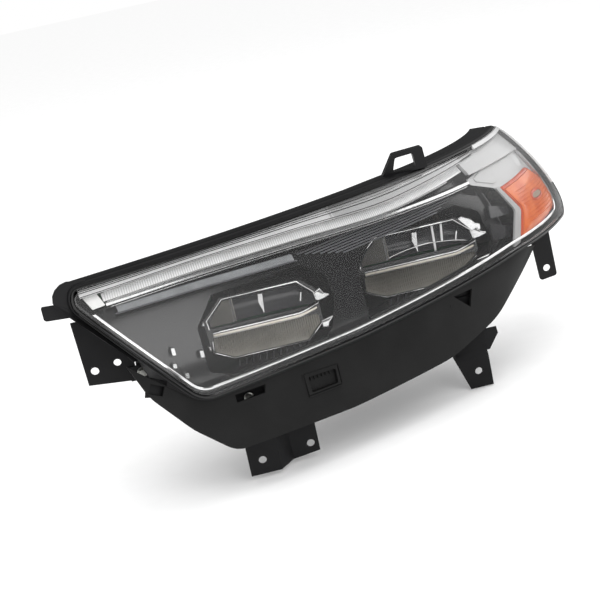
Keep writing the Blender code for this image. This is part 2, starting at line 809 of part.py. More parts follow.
def upper_lobe(wide, high, grow=0.0):
    """Opening of the upper reflector."""
    corners = ((-63, 7), (60, 7), (64, 12), (62, 23), (46, 38), (-42, 38), (-64, 17))
    points = offset_corners([(x * wide * MM, z * high * MM, MM) for x, z in corners], -grow)
    return [(p[0], p[1]) for p in points]


def lower_lobe(wide, high, chamfer, grow=0.0):
    """Opening of the lower reflector."""
    cx, cz = chamfer
    corners = (
        (-62, -5), (-63, -22), (-42, -33.5), (66 - cx, -33.5), (65, min(cz - 33.0, -8.0)),
        (64, -5),
    )
    points = offset_corners([(x * wide * MM, z * high * MM, MM) for x, z in corners], -grow)
    return [(p[0], p[1]) for p in points]


def cup(lobe, front, back, taper):
    """A reflector cup that narrows towards its closed back."""
    cx = sum(p[0] for p in lobe) / len(lobe)
    cz = sum(p[1] for p in lobe) / len(lobe)

    def loop(scale, inset, y):
        points = offset_corners([(x, z, MM) for x, z in lobe], inset)
        return [(cx + (p[0] - cx) * scale, y, cz + (p[1] - cz) * scale) for p in points]
    thick = 1.2 * MM
    return loft([
        loop(taper, thick, back - 2 * MM), loop(1.0, thick, front),
        loop(1.0, 0.0, front), loop(taper, 0.0, back),
    ])


def light_blade(wide, high):
    """Bar between the two lobes, which lifts at its outboard end."""
    loops = []
    for k in range(BLADE_STEPS + 1):
        t = k / BLADE_STEPS
        x = (-61 + 127 * t) * wide * MM
        z = (0.5 + 4.2 * max(0.0, t - 0.86) / 0.14) * high * MM
        y = -4.8 * MM + 1.2 * MM * (2 * t - 1) ** 2
        near, far = y - 1 * MM, y + 3 * MM
        low, top = z - 2.0 * MM, z + 2.0 * MM
        loops.append([(x, near, low), (x, near, top), (x, far, top), (x, far, low)])
    return loft(loops)


def heat_sink(left, right, low, top):
    """Finned plate behind a module's board."""
    plate = MODULE_DEPTH + 2.4 * MM
    root, tip = MODULE_DEPTH + 6.4 * MM, MODULE_DEPTH + 22 * MM
    outline = [(left, plate), (right, plate)]
    pitch = (right - left) / (2 * FIN_COUNT - 1)
    for k in range(FIN_COUNT):
        edge = right - 2 * k * pitch
        outline += [(edge, tip), (edge - pitch, tip)]
        if k < FIN_COUNT - 1:
            outline += [(edge - pitch, root), (edge - 2 * pitch, root)]
    return prism(outline, 'XY', low, top)


def build_module(name, centre, wide, high, chamfer, black, chrome, clear, board, metal, origin):
    """One light module: hood, two reflectors, light blade, LED board and heat sink."""
    place = Matrix.Translation(centre)

    def add(node, shape, material):
        return make("%s_module_%s" % (name, node), moved(shape, place), material, origin)
    outer = module_outline(wide, high, chamfer, 0.0)
    inner = module_outline(wide, high, chamfer, -2.0 * MM)
    back = MODULE_DEPTH
    sections = ((outer, 0.0), (outer, back), (inner, back), (inner, 3 * MM))
    loops = [[(x, y, z) for x, z in line] for line, y in sections]
    hood = add("hood", loft(loops), black)
    holes = combine(
        prism(upper_lobe(wide, high, 0.4 * MM), 'XZ', -5 * MM, 8 * MM),
        prism(lower_lobe(wide, high, chamfer, 0.4 * MM), 'XZ', -5 * MM, 8 * MM),
    )
    cut(hood, moved(holes, place), "%s_hood_openings" % name)
    add("upper_reflector", cup(upper_lobe(wide, high), -0.8 * MM, 34 * MM, 0.72), chrome)
    add("lower_reflector", cup(lower_lobe(wide, high, chamfer), -0.8 * MM, 34 * MM, 0.72), chrome)
    add("light_blade", light_blade(wide, high), clear)
    left, right = -58 * wide * MM, 58 * wide * MM
    low, top = -30 * high * MM, 34 * high * MM
    add("led_board", box((left, back + 0.4 * MM, low), (right, back + 2.0 * MM, top)), board)
    add("heat_sink", heat_sink(left, right, low, top), metal)


def build_carrier(plastic, metal, nylon, origin):
    """Tilting frame, the two ball studs it hangs on, and the aiming gear."""
    front = PIVOT_Y - CARRIER_THICK / 2
    back = PIVOT_Y + CARRIER_THICK / 2
    outline = rounded((
        (-0.185, -0.034, 0.008), (0.085, -0.046, 0.010), (0.092, -0.064, 0.006), (0.118, -0.064, 0.006),
        (0.125, -0.040, 0.010), (0.168, -0.030, 0.008), (0.178, 0.072, 0.008), (0.152, 0.075, 0.006),
        (0.146, 0.052, 0.008), (-0.146, 0.052, 0.008), (-0.152, 0.075, 0.006), (-0.180, 0.075, 0.006),
    ), 3)
    carrier = make("carrier_frame", moved(prism(outline, 'XZ', front, back), REAR), plastic, origin)
    windows = combine(*(prism(corners, 'XZ', front - 0.01, back + 0.01) for corners in (
        ((-0.150, -0.014), (-0.060, -0.016), (-0.060, 0.017), (-0.150, 0.017)),
        ((0.040, -0.016), (0.130, -0.014), (0.140, 0.017), (0.040, 0.017)),
    )))
    posts = []
    for _, centre, wide, high, _ in MODULES:
        sink = centre.y + MODULE_DEPTH + 22.3 * MM
        for x in (centre.x - 30 * wide * MM, centre.x + 36 * wide * MM):
            plate = REAR_CENTRE.y + (x - REAR_CENTRE.x) * math.tan(REAR_TURN)
            plate += PIVOT_Y / math.cos(REAR_TURN)
            posts.append(box((x - 4 * MM, sink, 0.0200), (x + 4 * MM, plate, 0.0280)))
            posts.append(box((x - 4 * MM, sink, -0.0280), (x + 4 * MM, plate, -0.0200)))
    cut(carrier, moved(windows, REAR), "carrier_windows")
    join(carrier, combine(*posts), "carrier_posts")
    bores = [rod(6.9 * MM, rear(AIM_X, -0.05, AIM_Z), rear(AIM_X, -0.01, AIM_Z))]
    for x in (-PIVOT_X, PIVOT_X):
        start, end = rear(x, -0.05, PIVOT_Z), rear(x, -0.01, PIVOT_Z)
        bores.append(rod(BALL_RADIUS + 0.4 * MM, start, end, 20))
    cut(carrier, combine(*bores), "carrier_bores")

    normal = rear_normal()
    for side, x in (("inboard", -PIVOT_X), ("outboard", PIVOT_X)):
        profile = [(8.0, 25.5), (8.0, 22.0), (3.0, 21.0), (3.0, 5.0)]
        for k in range(1, 7):
            angle = math.radians(37 + 130 * k / 6)
            profile.append((5.0 * math.sin(angle), 5.0 * math.cos(angle)))
        place = along(rear(x, PIVOT_Y, PIVOT_Z), normal)
        stud = turned([(r * MM, h * MM) for r, h in profile], 16, place)
        make("%s_ball_stud" % side, stud, nylon)
    axis = along(rear(AIM_X, 0, AIM_Z), normal)
    profile = ((1.2, -46), (2.2, -45), (2.2, 10.5), (7.0, 10.5), (7.0, 13.0), (5.0, 13.6), (5.0, 22.0))
    make("aim_screw", turned([(r * MM, h * MM) for r, h in profile], 12, axis), metal, axis)
    profile = ((2.6, -5.0), (5.9, -5.0), (5.9, 6.3), (8.5, 6.3), (8.5, 9.5), (2.6, 9.5))
    make("aim_screw_bush", turned([(r * MM, h * MM) for r, h in profile], 16, axis, True), nylon)
    profile = ((2.9, -36.0), (9.0, -36.0), (9.0, -30.4), (6.5, -30.4), (6.5, -24.5), (2.9, -24.5))
    make("aim_nut", turned([(r * MM, h * MM) for r, h in profile], 16, axis, True), nylon, origin)


# ------------------------------------------------------------ rear wall

def driver_screws():
    """Where the LED driver's four screws stand."""
    return [(DRIVER_X + x * 50 * MM, DRIVER_Z + z * 41 * MM) for x in (-1, 1) for z in (-1, 1)]


def build_rear(plastic, rubber, metal, aluminium, brass):
    """Access cap, vents, LED driver and the connector on the rear wall."""
    normal = rear_normal()
    axis = along(rear(CAP_X, 0, CAP_Z), normal)
    profile = ((26.5, -1.0), (27.4, 0.0), (27.4, 9.4), (36.0, 9.4), (36.0, 12.0), (33.0, 13.5))
    cap = make("access_cap", turned([(r * MM, h * MM) for r, h in profile], 40, axis), plastic, axis)
    grip = box((-0.027, -0.0045, 0.0130), (0.027, 0.0045, 0.0230))
    join(cap, moved(grip, axis), "access_cap_grip")
    profile = ((28.6, 8.3), (32.6, 8.3), (32.6, 9.1), (28.6, 9.1))
    make("access_cap_seal", turned([(r * MM, h * MM) for r, h in profile], 32, axis, True), rubber)
    for k, (x, z) in enumerate(VENTS):
        profile = ((2.8, -2.0), (2.8, 0.3), (8.0, 0.3), (8.5, 3.0), (7.0, 6.5), (3.0, 7.2))
        vent = turned([(r * MM, h * MM) for r, h in profile], 16, along(rear(x, 0, z), normal))
        make("vent_cap_%d" % (k + 1), vent, rubber)

    corners = ((-57, -48, 6), (57, -48, 6), (57, 48, 6), (-57, 48, 6))
    plate = rounded([(DRIVER_X + x * MM, DRIVER_Z + z * MM, r * MM) for x, z, r in corners], 3)
    hole = rounded([(DRIVER_X + x * 0.74 * MM, DRIVER_Z + z * 0.70 * MM, r * MM) for x, z, r in corners], 3)
    loops = [[rear(x, y, z) for x, z in line] for line, y in (
        (plate, 0.3 * MM), (plate, 1.5 * MM), (hole, 1.5 * MM), (hole, 0.3 * MM))]
    gasket = make("driver_gasket", loft(loops, closed=True), rubber)
    case = rounded([(DRIVER_X + x * 0.76 * MM, DRIVER_Z + z * 0.95 * MM, r * MM) for x, z, r in corners], 3)
    loops = [[rear(x, y, z) for x, z in line] for line, y in (
        (plate, 1.8 * MM), (plate, 5.0 * MM), (case, 5.0 * MM), (case, 22.0 * MM))]
    driver = make("led_driver", loft(loops), aluminium)
    holes = combine(*(rear_hole(x, z, SCREW_HOLE, 12) for x, z in driver_screws()))
    grooves = []
    for k in range(7):
        z = DRIVER_Z + (-33 + 11 * k) * MM
        low = (DRIVER_X - 0.06, 0.016, z - 2.5 * MM)
        high = (DRIVER_X + 0.06, 0.030, z + 2.5 * MM)
        grooves.append(box(low, high))
    cut(driver, moved(combine(*grooves), REAR), "led_driver_grooves")
    cut(driver, holes, "led_driver_holes")
    cut(gasket, holes, "driver_gasket_holes")
    for k, (x, z) in enumerate(driver_screws()):
        make("driver_screw_%d" % (k + 1), hex_screw(rear(x, 5.3 * MM, z), -normal, 9 * MM), metal)
    build_connector(plastic, brass)


def build_connector(plastic, brass):
    """Socket for the wiring plug, and its pins."""
    def shell(x, z, y):
        signs = ((-1, -1), (1, -1), (1, 1), (-1, 1))
        return [rear(PLUG_X + a * x, y, PLUG_Z + b * z) for a, b in signs]
    socket = make("connector_socket", loft([
        shell(0.024, 0.014, 0.3 * MM),
        shell(0.024, 0.014, 3.0 * MM),
        shell(0.019, 0.0105, 3.0 * MM),
        shell(0.019, 0.0105, 24 * MM),
        shell(0.0165, 0.008, 24 * MM),
        shell(0.0165, 0.008, 4.0 * MM),
    ]), plastic)
    latch = box((PLUG_X - 0.005, 0.008, PLUG_Z + 0.0102), (PLUG_X + 0.005, 0.020, PLUG_Z + 0.0135))
    join(socket, moved(latch, REAR), "connector_latch")
    seat = box(
        (PLUG_X - 0.015, 0.0043, PLUG_Z - 0.0065), (PLUG_X + 0.015, 0.0075, PLUG_Z + 0.0065),
    )
    block = make("connector_terminals", moved(seat, REAR), brass)
    pins = []
    for k in range(5):
        for z in (-3.2 * MM, 3.2 * MM):
            x = PLUG_X + (-12 + 6 * k) * MM
            low = (x - PIN_HALF, 0.007, PLUG_Z + z - PIN_HALF)
            high = (x + PIN_HALF, 0.017, PLUG_Z + z + PIN_HALF)
            pins.append(box(low, high))
    join(block, moved(combine(*pins), REAR), "connector_pins")


# ---------------------------------------------------- skirt and brackets

def skirt_grid(depth):
    """Panel between the rim's underside and its own lower edge."""
    sides = outline_sides(RIM, RIM_MAIN, -1.5 * MM)
    rim_left = [p for p in sides[3] if p[1] < 0.040]
    rim_under = [p for p in sides[0] if p[0] < 0.682]
    arcs = []
    for i in range(1, len(SKIRT_FOOT) - 1):
        arcs.append(corner_arc(*SKIRT_FOOT[i - 1:i + 2], SKIRT_FOOT[i][2]))
    half = ARC_STEPS // 2
    foot_left = [SKIRT_FOOT[0], *arcs[0], *arcs[1], *arcs[2][:half + 1]]
    foot_under = [*arcs[2][half:], *arcs[3], *arcs[4], *arcs[5], SKIRT_FOOT[-1]]
    top = resample(rim_left, SKIRT_LEFT, 0.0)[:-1] + resample(rim_under, SKIRT_UNDER, 0.0)
    foot = resample(foot_left, SKIRT_LEFT, 0.0)[:-1] + resample(foot_under, SKIRT_UNDER, 0.0)
    rows = []
    for j in range(SKIRT_UP + 1):
        v = j / SKIRT_UP
        row = []
        for (s0, z0), (s1, z1) in zip(top, foot):
            s, z = s0 + (s1 - s0) * v, z0 + (z1 - z0) * v
            row.append(lamp(s, z, depth + SKIRT_TUCK * v ** 3))
        rows.append(row)
    return rows


def build_skirt(material):
    """Lower cover panel, with its pocket and cut-outs."""
    skirt = make("lower_skirt", sheet(skirt_grid(SKIRT_DEPTH), skirt_grid(SKIRT_DEPTH + WALL)), material)
    boss = ((0.2430, -0.0930), (0.2880, -0.0930), (0.2905, -0.0680), (0.2440, -0.0660))
    pocket = ((0.2475, -0.0885), (0.2835, -0.0885), (0.2855, -0.0720), (0.2485, -0.0705))
    join(skirt, lamp_prism(boss, 13.4 * MM, 26 * MM), "skirt_boss")
    notches = (
        ((0.4780, -0.0465), (0.5110, -0.0470), (0.5020, -0.0680)),
        ((0.1560, -0.0700), (0.1920, -0.0700), (0.1950, -0.0610), (0.1560, -0.0610)),
        ((0.0600, -0.0300), (0.0740, -0.0360), (0.0790, -0.0260), (0.0650, -0.0190)),
    )
    cut(skirt, combine(
        lamp_prism(pocket, 8 * MM, 23 * MM),
        *(lamp_prism(notch, 6 * MM, 30 * MM) for notch in notches),
    ), "skirt_cuts")
    return skirt


def build_brackets(material, metal):
    """Three screwed-on mounting brackets."""
    pad = ((-0.0270, 0.0590), (-0.0240, -0.0170), (0.0320, -0.0235), (0.0320, -0.0020), (-0.0140, 0.0590))
    root = box((0.0240, -0.0060, -0.0232), (0.0430, -0.0033, -0.0060))
    bracket = make("inboard_plate", prism(pad, 'XZ', -0.0040, 0.0), material)
    join(bracket, root, "inboard_plate_root")
    x, y, z = BRACKET_SCREWS[0]
    cut(bracket, combine(
        rod(BOLT_HOLE, (-0.0135, -0.01, -0.0020), (-0.0135, 0.01, -0.0020)),
        rod(BOLT_HOLE * 0.92, (0.0135, -0.01, 0.0020), (0.0135, 0.01, 0.0020)),
        rod(SCREW_HOLE, (x, y - 0.01, z), (x, y + 0.01, z), 12),
    ), "inboard_plate_holes")
    make("inboard_plate_screw", hex_screw((x, y - GAP, z), (0, 1, 0), 12 * MM), metal)

    thick = 3.0 * MM
    path = ((0.1320, 0.0), (0.1690, 0.0), (0.1860, 0.0200), (0.2190, 0.0200))
    plan = list(path) + [(p[0] + dx, p[1] + thick) for p, dx in zip(path[::-1], (0, -0.0012, -0.0012, 0))]
    bracket = make("lower_inboard_bracket", prism(plan, 'XY', -0.1730, -0.0650), material)
    x, y, z = BRACKET_SCREWS[1]
    y = 0.0
    foot = ((0.1700, -0.20), (0.23, -0.20), (0.23, -0.1670), (0.1900, -0.1715), (0.1700, -0.1728))
    cut(bracket, combine(
        rod(BOLT_HOLE, (0.1490, -0.02, -0.1560), (0.1490, 0.03, -0.1560)),
        rod(BOLT_HOLE, (0.2095, -0.02, -0.1575), (0.2095, 0.04, -0.1575)),
        rod(SCREW_HOLE, (x, -0.01, z), (x, 0.01, z), 12),
        prism(foot, 'XZ', -0.01, 0.04),
        box((0.1720, -0.01, -0.0880), (0.23, 0.04, -0.05)),
    ), "lower_inboard_cuts")
    make("lower_inboard_screw", hex_screw((x, y - GAP, z), (0, 1, 0), 14 * MM), metal)

    near, far = OUTBOARD_Y, OUTBOARD_Y + thick
    step = 5.0 * MM
    profile = (
        (near - step, -0.1780), (far - step, -0.1780), (far - step, -0.1370), (far, -0.1290),
        (far, -0.0570), (near, -0.0570), (near, -0.1300), (near - step, -0.1380),
    )
    bracket = make("lower_outboard_bracket", prism(profile, 'YZ', 0.4150, 0.4600), material)
    x, y, z = BRACKET_SCREWS[2]
    gusset = ((0.4590, -0.1330), (0.4640, -0.1330), (0.4780, -0.1140), (0.4770, -0.1055), (0.4590, -0.1055))
    flange = prism((
        (near - 10 * MM, -0.1000), (near + MM, -0.0840), (far - step - 0.5 * MM, -0.1780),
        (near - step + 0.5 * MM, -0.1780),
    ), 'YZ', 0.4150, 0.4175)
    side = prism(gusset, 'XZ', near + 0.1 * MM, far - 0.1 * MM)
    join(bracket, combine(side, flange), "lower_outboard_sides")
    foot = ((0.4100, -0.19), (0.4300, -0.19), (0.4300, -0.1775), (0.4140, -0.1300), (0.4100, -0.13))
    cut(bracket, combine(
        rod(BOLT_HOLE, (0.4440, near - 0.02, -0.1565), (0.4440, far + 0.02, -0.1565)),
        rod(SCREW_HOLE, (x, near - 0.01, z), (x, far + 0.01, z), 12),
        prism(foot, 'XZ', 0.08, 0.15),
    ), "lower_outboard_cuts")
    make("lower_outboard_screw", hex_screw((x, near - GAP, z), (0, 1, 0), 14 * MM), metal)


def main():
    """Builds every solid."""
    clear_scene()
    black = finish_material("black_plastic", (0.022, 0.022, 0.024), 0.45)
    gloss = finish_material("gloss_black", (0.012, 0.012, 0.013), 0.15)
    clear = finish_material("clear_lens", (0.92, 0.94, 0.95), 0.03, 0.0, 0.25)
    guide = finish_material("light_guide", (0.85, 0.87, 0.88), 0.15)
    chrome = finish_material("chrome", (0.80, 0.81, 0.82), 0.12, 1.0)
    silver = finish_material("silver_paint", (0.70, 0.71, 0.72), 0.30, 0.6)
    amber = finish_material("amber", (0.85, 0.25, 0.04), 0.20)
    white = finish_material("white_plastic", (0.85, 0.85, 0.84), 0.35)
    grey = finish_material("grey_plastic", (0.35, 0.34, 0.33), 0.40)
    board = finish_material("circuit_board", (0.03, 0.16, 0.07), 0.50)
    metal = finish_material("zinc_steel", (0.55, 0.55, 0.54), 0.35, 1.0)
    aluminium = finish_material("aluminium", (0.62, 0.63, 0.64), 0.45, 1.0)
    rubber = finish_material("rubber", (0.03, 0.03, 0.03), 0.70)
    nylon = finish_material("nylon", (0.80, 0.78, 0.70), 0.45)
    brass = finish_material("terminal_brass", (0.60, 0.52, 0.30), 0.35, 1.0)

    build_lens(clear)
    build_seal(rubber)
    build_housing(black)
    build_bezel(gloss)
    build_trim_line(chrome)
    build_running_light(chrome, guide, white, board)
    build_turn_lamp(silver, amber, grey, clear, black)
    pivot = Matrix.Translation(rear(0, PIVOT_Y, PIVOT_Z)) @ Matrix.Rotation(REAR_TURN, 4, 'Z')
    for name, centre, wide, high, chamfer in MODULES:
        build_module(name, centre, wide, high, chamfer, black, chrome, guide, board, aluminium, pivot)
    build_carrier(black, metal, nylon, pivot)
    build_rear(black, rubber, metal, aluminium, brass)
    build_skirt(black)
    build_brackets(black, metal)


main()
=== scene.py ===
"""Looks of a left-hand LED car headlight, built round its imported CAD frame.

Everything is in metres in the frame's own axes: +X towards the side of the
car, -Y the way the beams point, +Z up. Most of the lamp follows one swept
front surface, whose points are given by s (the length along the sweep from
the inboard end), z (the height) and a depth behind the lens. The rear wall is
a flat plane turned about Z, and a light module has its own axes about the
middle of its front plate.
"""

import logging
import math
from collections.abc import Callable, Iterable, Sequence
from dataclasses import dataclass, field
from enum import Enum

import bmesh
import bpy
import numpy as np
from mathutils import Matrix, Vector


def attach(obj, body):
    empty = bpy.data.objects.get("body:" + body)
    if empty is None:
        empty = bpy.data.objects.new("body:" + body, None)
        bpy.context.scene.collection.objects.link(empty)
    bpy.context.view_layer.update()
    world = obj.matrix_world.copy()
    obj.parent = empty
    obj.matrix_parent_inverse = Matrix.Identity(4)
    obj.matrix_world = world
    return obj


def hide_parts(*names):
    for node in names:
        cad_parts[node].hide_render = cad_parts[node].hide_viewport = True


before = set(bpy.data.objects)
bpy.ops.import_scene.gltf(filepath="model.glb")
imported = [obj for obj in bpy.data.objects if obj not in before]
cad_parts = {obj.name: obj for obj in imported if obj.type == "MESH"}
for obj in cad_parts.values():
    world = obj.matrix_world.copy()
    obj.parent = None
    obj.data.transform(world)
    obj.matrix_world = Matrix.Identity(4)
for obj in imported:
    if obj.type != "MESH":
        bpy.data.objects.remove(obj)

LOG = logging.getLogger("headlight")
MM = 0.001
Pair = tuple[float, float]
Corner = tuple[float, float, float]
Loop = list[Vector]


# ------------------------------------------------------------- finishes

def linear(code: str) -> tuple[float, float, float, float]:
    """Linear colour of an sRGB hex value.

    Args:
        code: The colour as #rrggbb.

    Returns:
        Red, green, blue and alpha, in linear light.
    """
    channels = [int(code[i:i + 2], 16) / 255 for i in (1, 3, 5)]
    return (*(c / 12.92 if c <= 0.04045 else ((c + 0.055) / 1.055) ** 2.4 for c in channels), 1.0)


def add_node(
    tree: bpy.types.NodeTree,
    kind: str,
    values: dict[str | int, object] | None = None,
    links: dict[str | int, bpy.types.NodeSocket] | None = None,
    **settings: object,
) -> bpy.types.Node:
    """Adds one node with its settings and links.

    Args:
        tree: The tree it goes into.
        kind: The node's type.
        values: Input values by socket name or number.
        links: Output sockets to join to inputs, by socket name or number.
        settings: The node's own attributes.

    Returns:
        The new node.
    """
    made = tree.nodes.new(kind)
    for name, value in settings.items():
        setattr(made, name, value)
    for name, value in (values or {}).items():
        made.inputs[name].default_value = value
    for name, source in (links or {}).items():
        tree.links.new(source, made.inputs[name])
    return made


class Finish:
    """A surface finish, made once and shared by every piece that has it."""

    made: dict["Finish", bpy.types.Material] = {}

    def material(self) -> bpy.types.Material:
        """The material of this finish."""
        if self not in Finish.made:
            material = bpy.data.materials.new(self.name)
            material.use_nodes = True
            tree = material.node_tree
            tree.nodes.clear()
            surface = self.shade(tree)
            add_node(tree, "ShaderNodeOutputMaterial", links={"Surface": surface})
            Finish.made[self] = material
        return Finish.made[self]

    def shade(self, tree: bpy.types.NodeTree) -> bpy.types.NodeSocket:
        """The shader of this finish."""
        raise NotImplementedError


def mottled(
    tree: bpy.types.NodeTree, dark: str, light: str, patch_mm: float, detail: float = 3.0,
) -> bpy.types.NodeSocket:
    """A colour that drifts between two shades.

    Args:
        tree: The tree it goes into.
        dark: The darker shade.
        light: The lighter shade.
        patch_mm: Size of the patches.
        detail: Octaves of the noise.

    Returns:
        The colour socket.
    """
    place = add_node(tree, "ShaderNodeTexCoord").outputs["Object"]
    noise = add_node(
        tree, "ShaderNodeTexNoise", {"Scale": 1000 / patch_mm, "Detail": detail}, {"Vector": place},
    )
    ramp = add_node(tree, "ShaderNodeValToRGB", links={"Fac": noise.outputs["Fac"]})
    ramp.color_ramp.elements[0].position = 0.30
    ramp.color_ramp.elements[0].color = linear(dark)
    ramp.color_ramp.elements[1].position = 0.70
    ramp.color_ramp.elements[1].color = linear(light)
    return ramp.outputs["Color"]


def grain(
    tree: bpy.types.NodeTree, grain_mm: float, height_mm: float, strength: float,
) -> bpy.types.NodeSocket:
    """A fine moulded or cast grain.

    Args:
        tree: The tree it goes into.
        grain_mm: Size of a grain.
        height_mm: Height of a grain.
        strength: How strongly it turns the light.

    Returns:
        The normal socket.
    """
    place = add_node(tree, "ShaderNodeTexCoord").outputs["Object"]
    noise = add_node(
        tree, "ShaderNodeTexNoise", {"Scale": 1000 / grain_mm, "Detail": 2.0}, {"Vector": place},
    )
    bump = add_node(
        tree, "ShaderNodeBump", {"Strength": strength, "Distance": height_mm * MM},
        {"Height": noise.outputs["Fac"]},
    )
    return bump.outputs["Normal"]


@dataclass(frozen=True)
class MouldedPlastic(Finish):
    """Injection-moulded polypropylene or ABS: a matte skin with a fine spark-eroded grain."""

    name: str
    slot: str
    dark: str
    light: str
    roughness: float = 0.45
    grain_mm: float = 1.2
    grain_height_mm: float = 0.03
    specular: float = 0.5

    def shade(self, tree: bpy.types.NodeTree) -> bpy.types.NodeSocket:
        """A soft, slightly uneven sheen: the grain breaks up every highlight."""
        shader = add_node(
            tree, "ShaderNodeBsdfPrincipled",
            {"Roughness": self.roughness, "IOR": 1.49, "Specular IOR Level": self.specular},
            {
                "Base Color": mottled(tree, self.dark, self.light, 45.0),
                "Normal": grain(tree, self.grain_mm, self.grain_height_mm, 0.35),
            },
        )
        return shader.outputs[0]


@dataclass(frozen=True)
class GlossPlastic(Finish):
    """Polycarbonate from a polished tool: a deep gloss with faint flow waves."""

    name: str
    slot: str
    dark: str
    light: str
    roughness: float = 0.10
    wave_mm: float = 30.0
    specular: float = 0.5

    def shade(self, tree: bpy.types.NodeTree) -> bpy.types.NodeSocket:
        """Sharp reflections over a dark ground, a little bent by the moulding."""
        shader = add_node(
            tree, "ShaderNodeBsdfPrincipled",
            {"Roughness": self.roughness, "IOR": 1.58, "Specular IOR Level": self.specular},
            {
                "Base Color": mottled(tree, self.dark, self.light, 60.0),
                "Normal": grain(tree, self.wave_mm, 0.12, 0.25),
            },
        )
        return shader.outputs[0]


@dataclass(frozen=True)
class ClearCover(Finish):
    """Hard-coated clear polycarbonate, thin enough to see straight through."""

    name: str = "clear_polycarbonate"
    slot: str = "clear_lens"
    ior: float = 1.58
    tint: str = "#fcfcfc"
    roughness: float = 0.36
    sheen: float = 0.70
    haze: float = 0.012

    def shade(self, tree: bpy.types.NodeTree) -> bpy.types.NodeSocket:
        """Clear face on, mirror-like where it turns away, with a trace of milky haze."""
        clear = add_node(tree, "ShaderNodeBsdfTransparent", {"Color": linear(self.tint)})
        milk = add_node(tree, "ShaderNodeBsdfDiffuse", {"Color": linear("#f0f0f0")})
        body = add_node(
            tree, "ShaderNodeMixShader", {0: self.haze}, {1: clear.outputs[0], 2: milk.outputs[0]},
        )
        gloss = add_node(
            tree, "ShaderNodeBsdfGlossy", {"Color": linear("#ffffff"), "Roughness": self.roughness},
        )
        fresnel = add_node(tree, "ShaderNodeFresnel", {"IOR": self.ior})
        share = add_node(
            tree, "ShaderNodeMath", {1: self.sheen}, {0: fresnel.outputs[0]}, operation='MULTIPLY',
        )
        entering = add_node(
            tree, "ShaderNodeMixShader", None,
            {0: share.outputs[0], 1: body.outputs[0], 2: gloss.outputs[0]},
        )
        side = add_node(tree, "ShaderNodeNewGeometry")
        mix = add_node(
            tree, "ShaderNodeMixShader", None,
            {0: side.outputs["Backfacing"], 1: entering.outputs[0], 2: clear.outputs[0]},
        )
        return mix.outputs[0]


@dataclass(frozen=True)
class VacuumChrome(Finish):
    """Aluminium deposited on plastic in vacuum and lacquered."""

    name: str
    slot: str
    dark: str = "#d8d8d8"
    light: str = "#eeeeee"
    roughness: float = 0.12

    def shade(self, tree: bpy.types.NodeTree) -> bpy.types.NodeSocket:
        """A near mirror whose gloss is uneven where the lacquer pooled."""
        shader = add_node(
            tree, "ShaderNodeBsdfPrincipled", {"Metallic": 1.0, "Roughness": self.roughness},
            {
                "Base Color": mottled(tree, self.dark, self.light, 12.0),
                "Normal": grain(tree, 8.0, 0.02, 0.2),
            },
        )
        return shader.outputs[0]


@dataclass(frozen=True)
class SilverPaint(Finish):
    """Silver basecoat with fine aluminium flake under lacquer."""

    name: str = "silver_paint"
    slot: str = "silver_paint"
    dark: str = "#a6a6a6"
    light: str = "#bababa"
    roughness: float = 0.36
    flake_mm: float = 0.6

    def shade(self, tree: bpy.types.NodeTree) -> bpy.types.NodeSocket:
        """A pale satin glow. The flake is drawn at 0.6 mm, coarser than life, to show at all."""
        shader = add_node(
            tree, "ShaderNodeBsdfPrincipled",
            {"Metallic": 0.35, "Roughness": self.roughness, "Coat Weight": 0.3, "Coat Roughness": 0.08},
            {
                "Base Color": mottled(tree, self.dark, self.light, self.flake_mm, 1.0),
                "Normal": grain(tree, self.flake_mm, 0.01, 0.2),
            },
        )
        return shader.outputs[0]


@dataclass(frozen=True)
class MouldedOptic(Finish):
    """Acrylic or polycarbonate optic: frosted, ribbed or coloured through."""

    name: str
    slot: str
    dark: str
    light: str
    roughness: float = 0.22
    transmission: float = 0.25
    patch_mm: float = 18.0
    wave_mm: float = 5.0

    def shade(self, tree: bpy.types.NodeTree) -> bpy.types.NodeSocket:
        """Light enters and comes back out softened, so it looks lit from within."""
        shader = add_node(
            tree, "ShaderNodeBsdfPrincipled",
            {"Roughness": self.roughness, "IOR": 1.49, "Transmission Weight": self.transmission},
            {
                "Base Color": mottled(tree, self.dark, self.light, self.patch_mm),
                "Normal": grain(tree, self.wave_mm, 0.06, 0.25),
            },
        )
        return shader.outputs[0]


@dataclass(frozen=True)
class BareMetal(Finish):
    """Die-cast, plated or rolled metal."""

    name: str
    slot: str
    dark: str
    light: str
    roughness: float = 0.38
    grain_mm: float = 0.8
    grain_height_mm: float = 0.03

    def shade(self, tree: bpy.types.NodeTree) -> bpy.types.NodeSocket:
        """A dull metal sheen broken by the grain of the casting or the plating."""
        shader = add_node(
            tree, "ShaderNodeBsdfPrincipled", {"Metallic": 1.0, "Roughness": self.roughness},
            {
                "Base Color": mottled(tree, self.dark, self.light, 6.0),
                "Normal": grain(tree, self.grain_mm, self.grain_height_mm, 0.4),
            },
        )
        return shader.outputs[0]


@dataclass(frozen=True)
class SolderMask(Finish):
    """Circuit board: green mask over copper tracks on a 2.5 mm grid."""

    name: str = "green_solder_mask"
    slot: str = "circuit_board"
    board: str = "#0f3a22"
    track: str = "#1f5a37"
    grid_mm: float = 2.5

    def shade(self, tree: bpy.types.NodeTree) -> bpy.types.NodeSocket:
        """Paler bands show where tracks lie under the glossy mask."""
        place = add_node(tree, "ShaderNodeTexCoord").outputs["Object"]
        bricks = add_node(
            tree, "ShaderNodeTexBrick",
            {
                "Color1": linear(self.board), "Color2": linear(self.board), "Mortar": linear(self.track),
                "Scale": 1000 / self.grid_mm / 4, "Mortar Size": 0.06,
            },
            {"Vector": place},
        )
        shader = add_node(
            tree, "ShaderNodeBsdfPrincipled", {"Roughness": 0.35, "IOR": 1.5},
            {"Base Color": bricks.outputs["Color"]},
        )
        return shader.outputs[0]


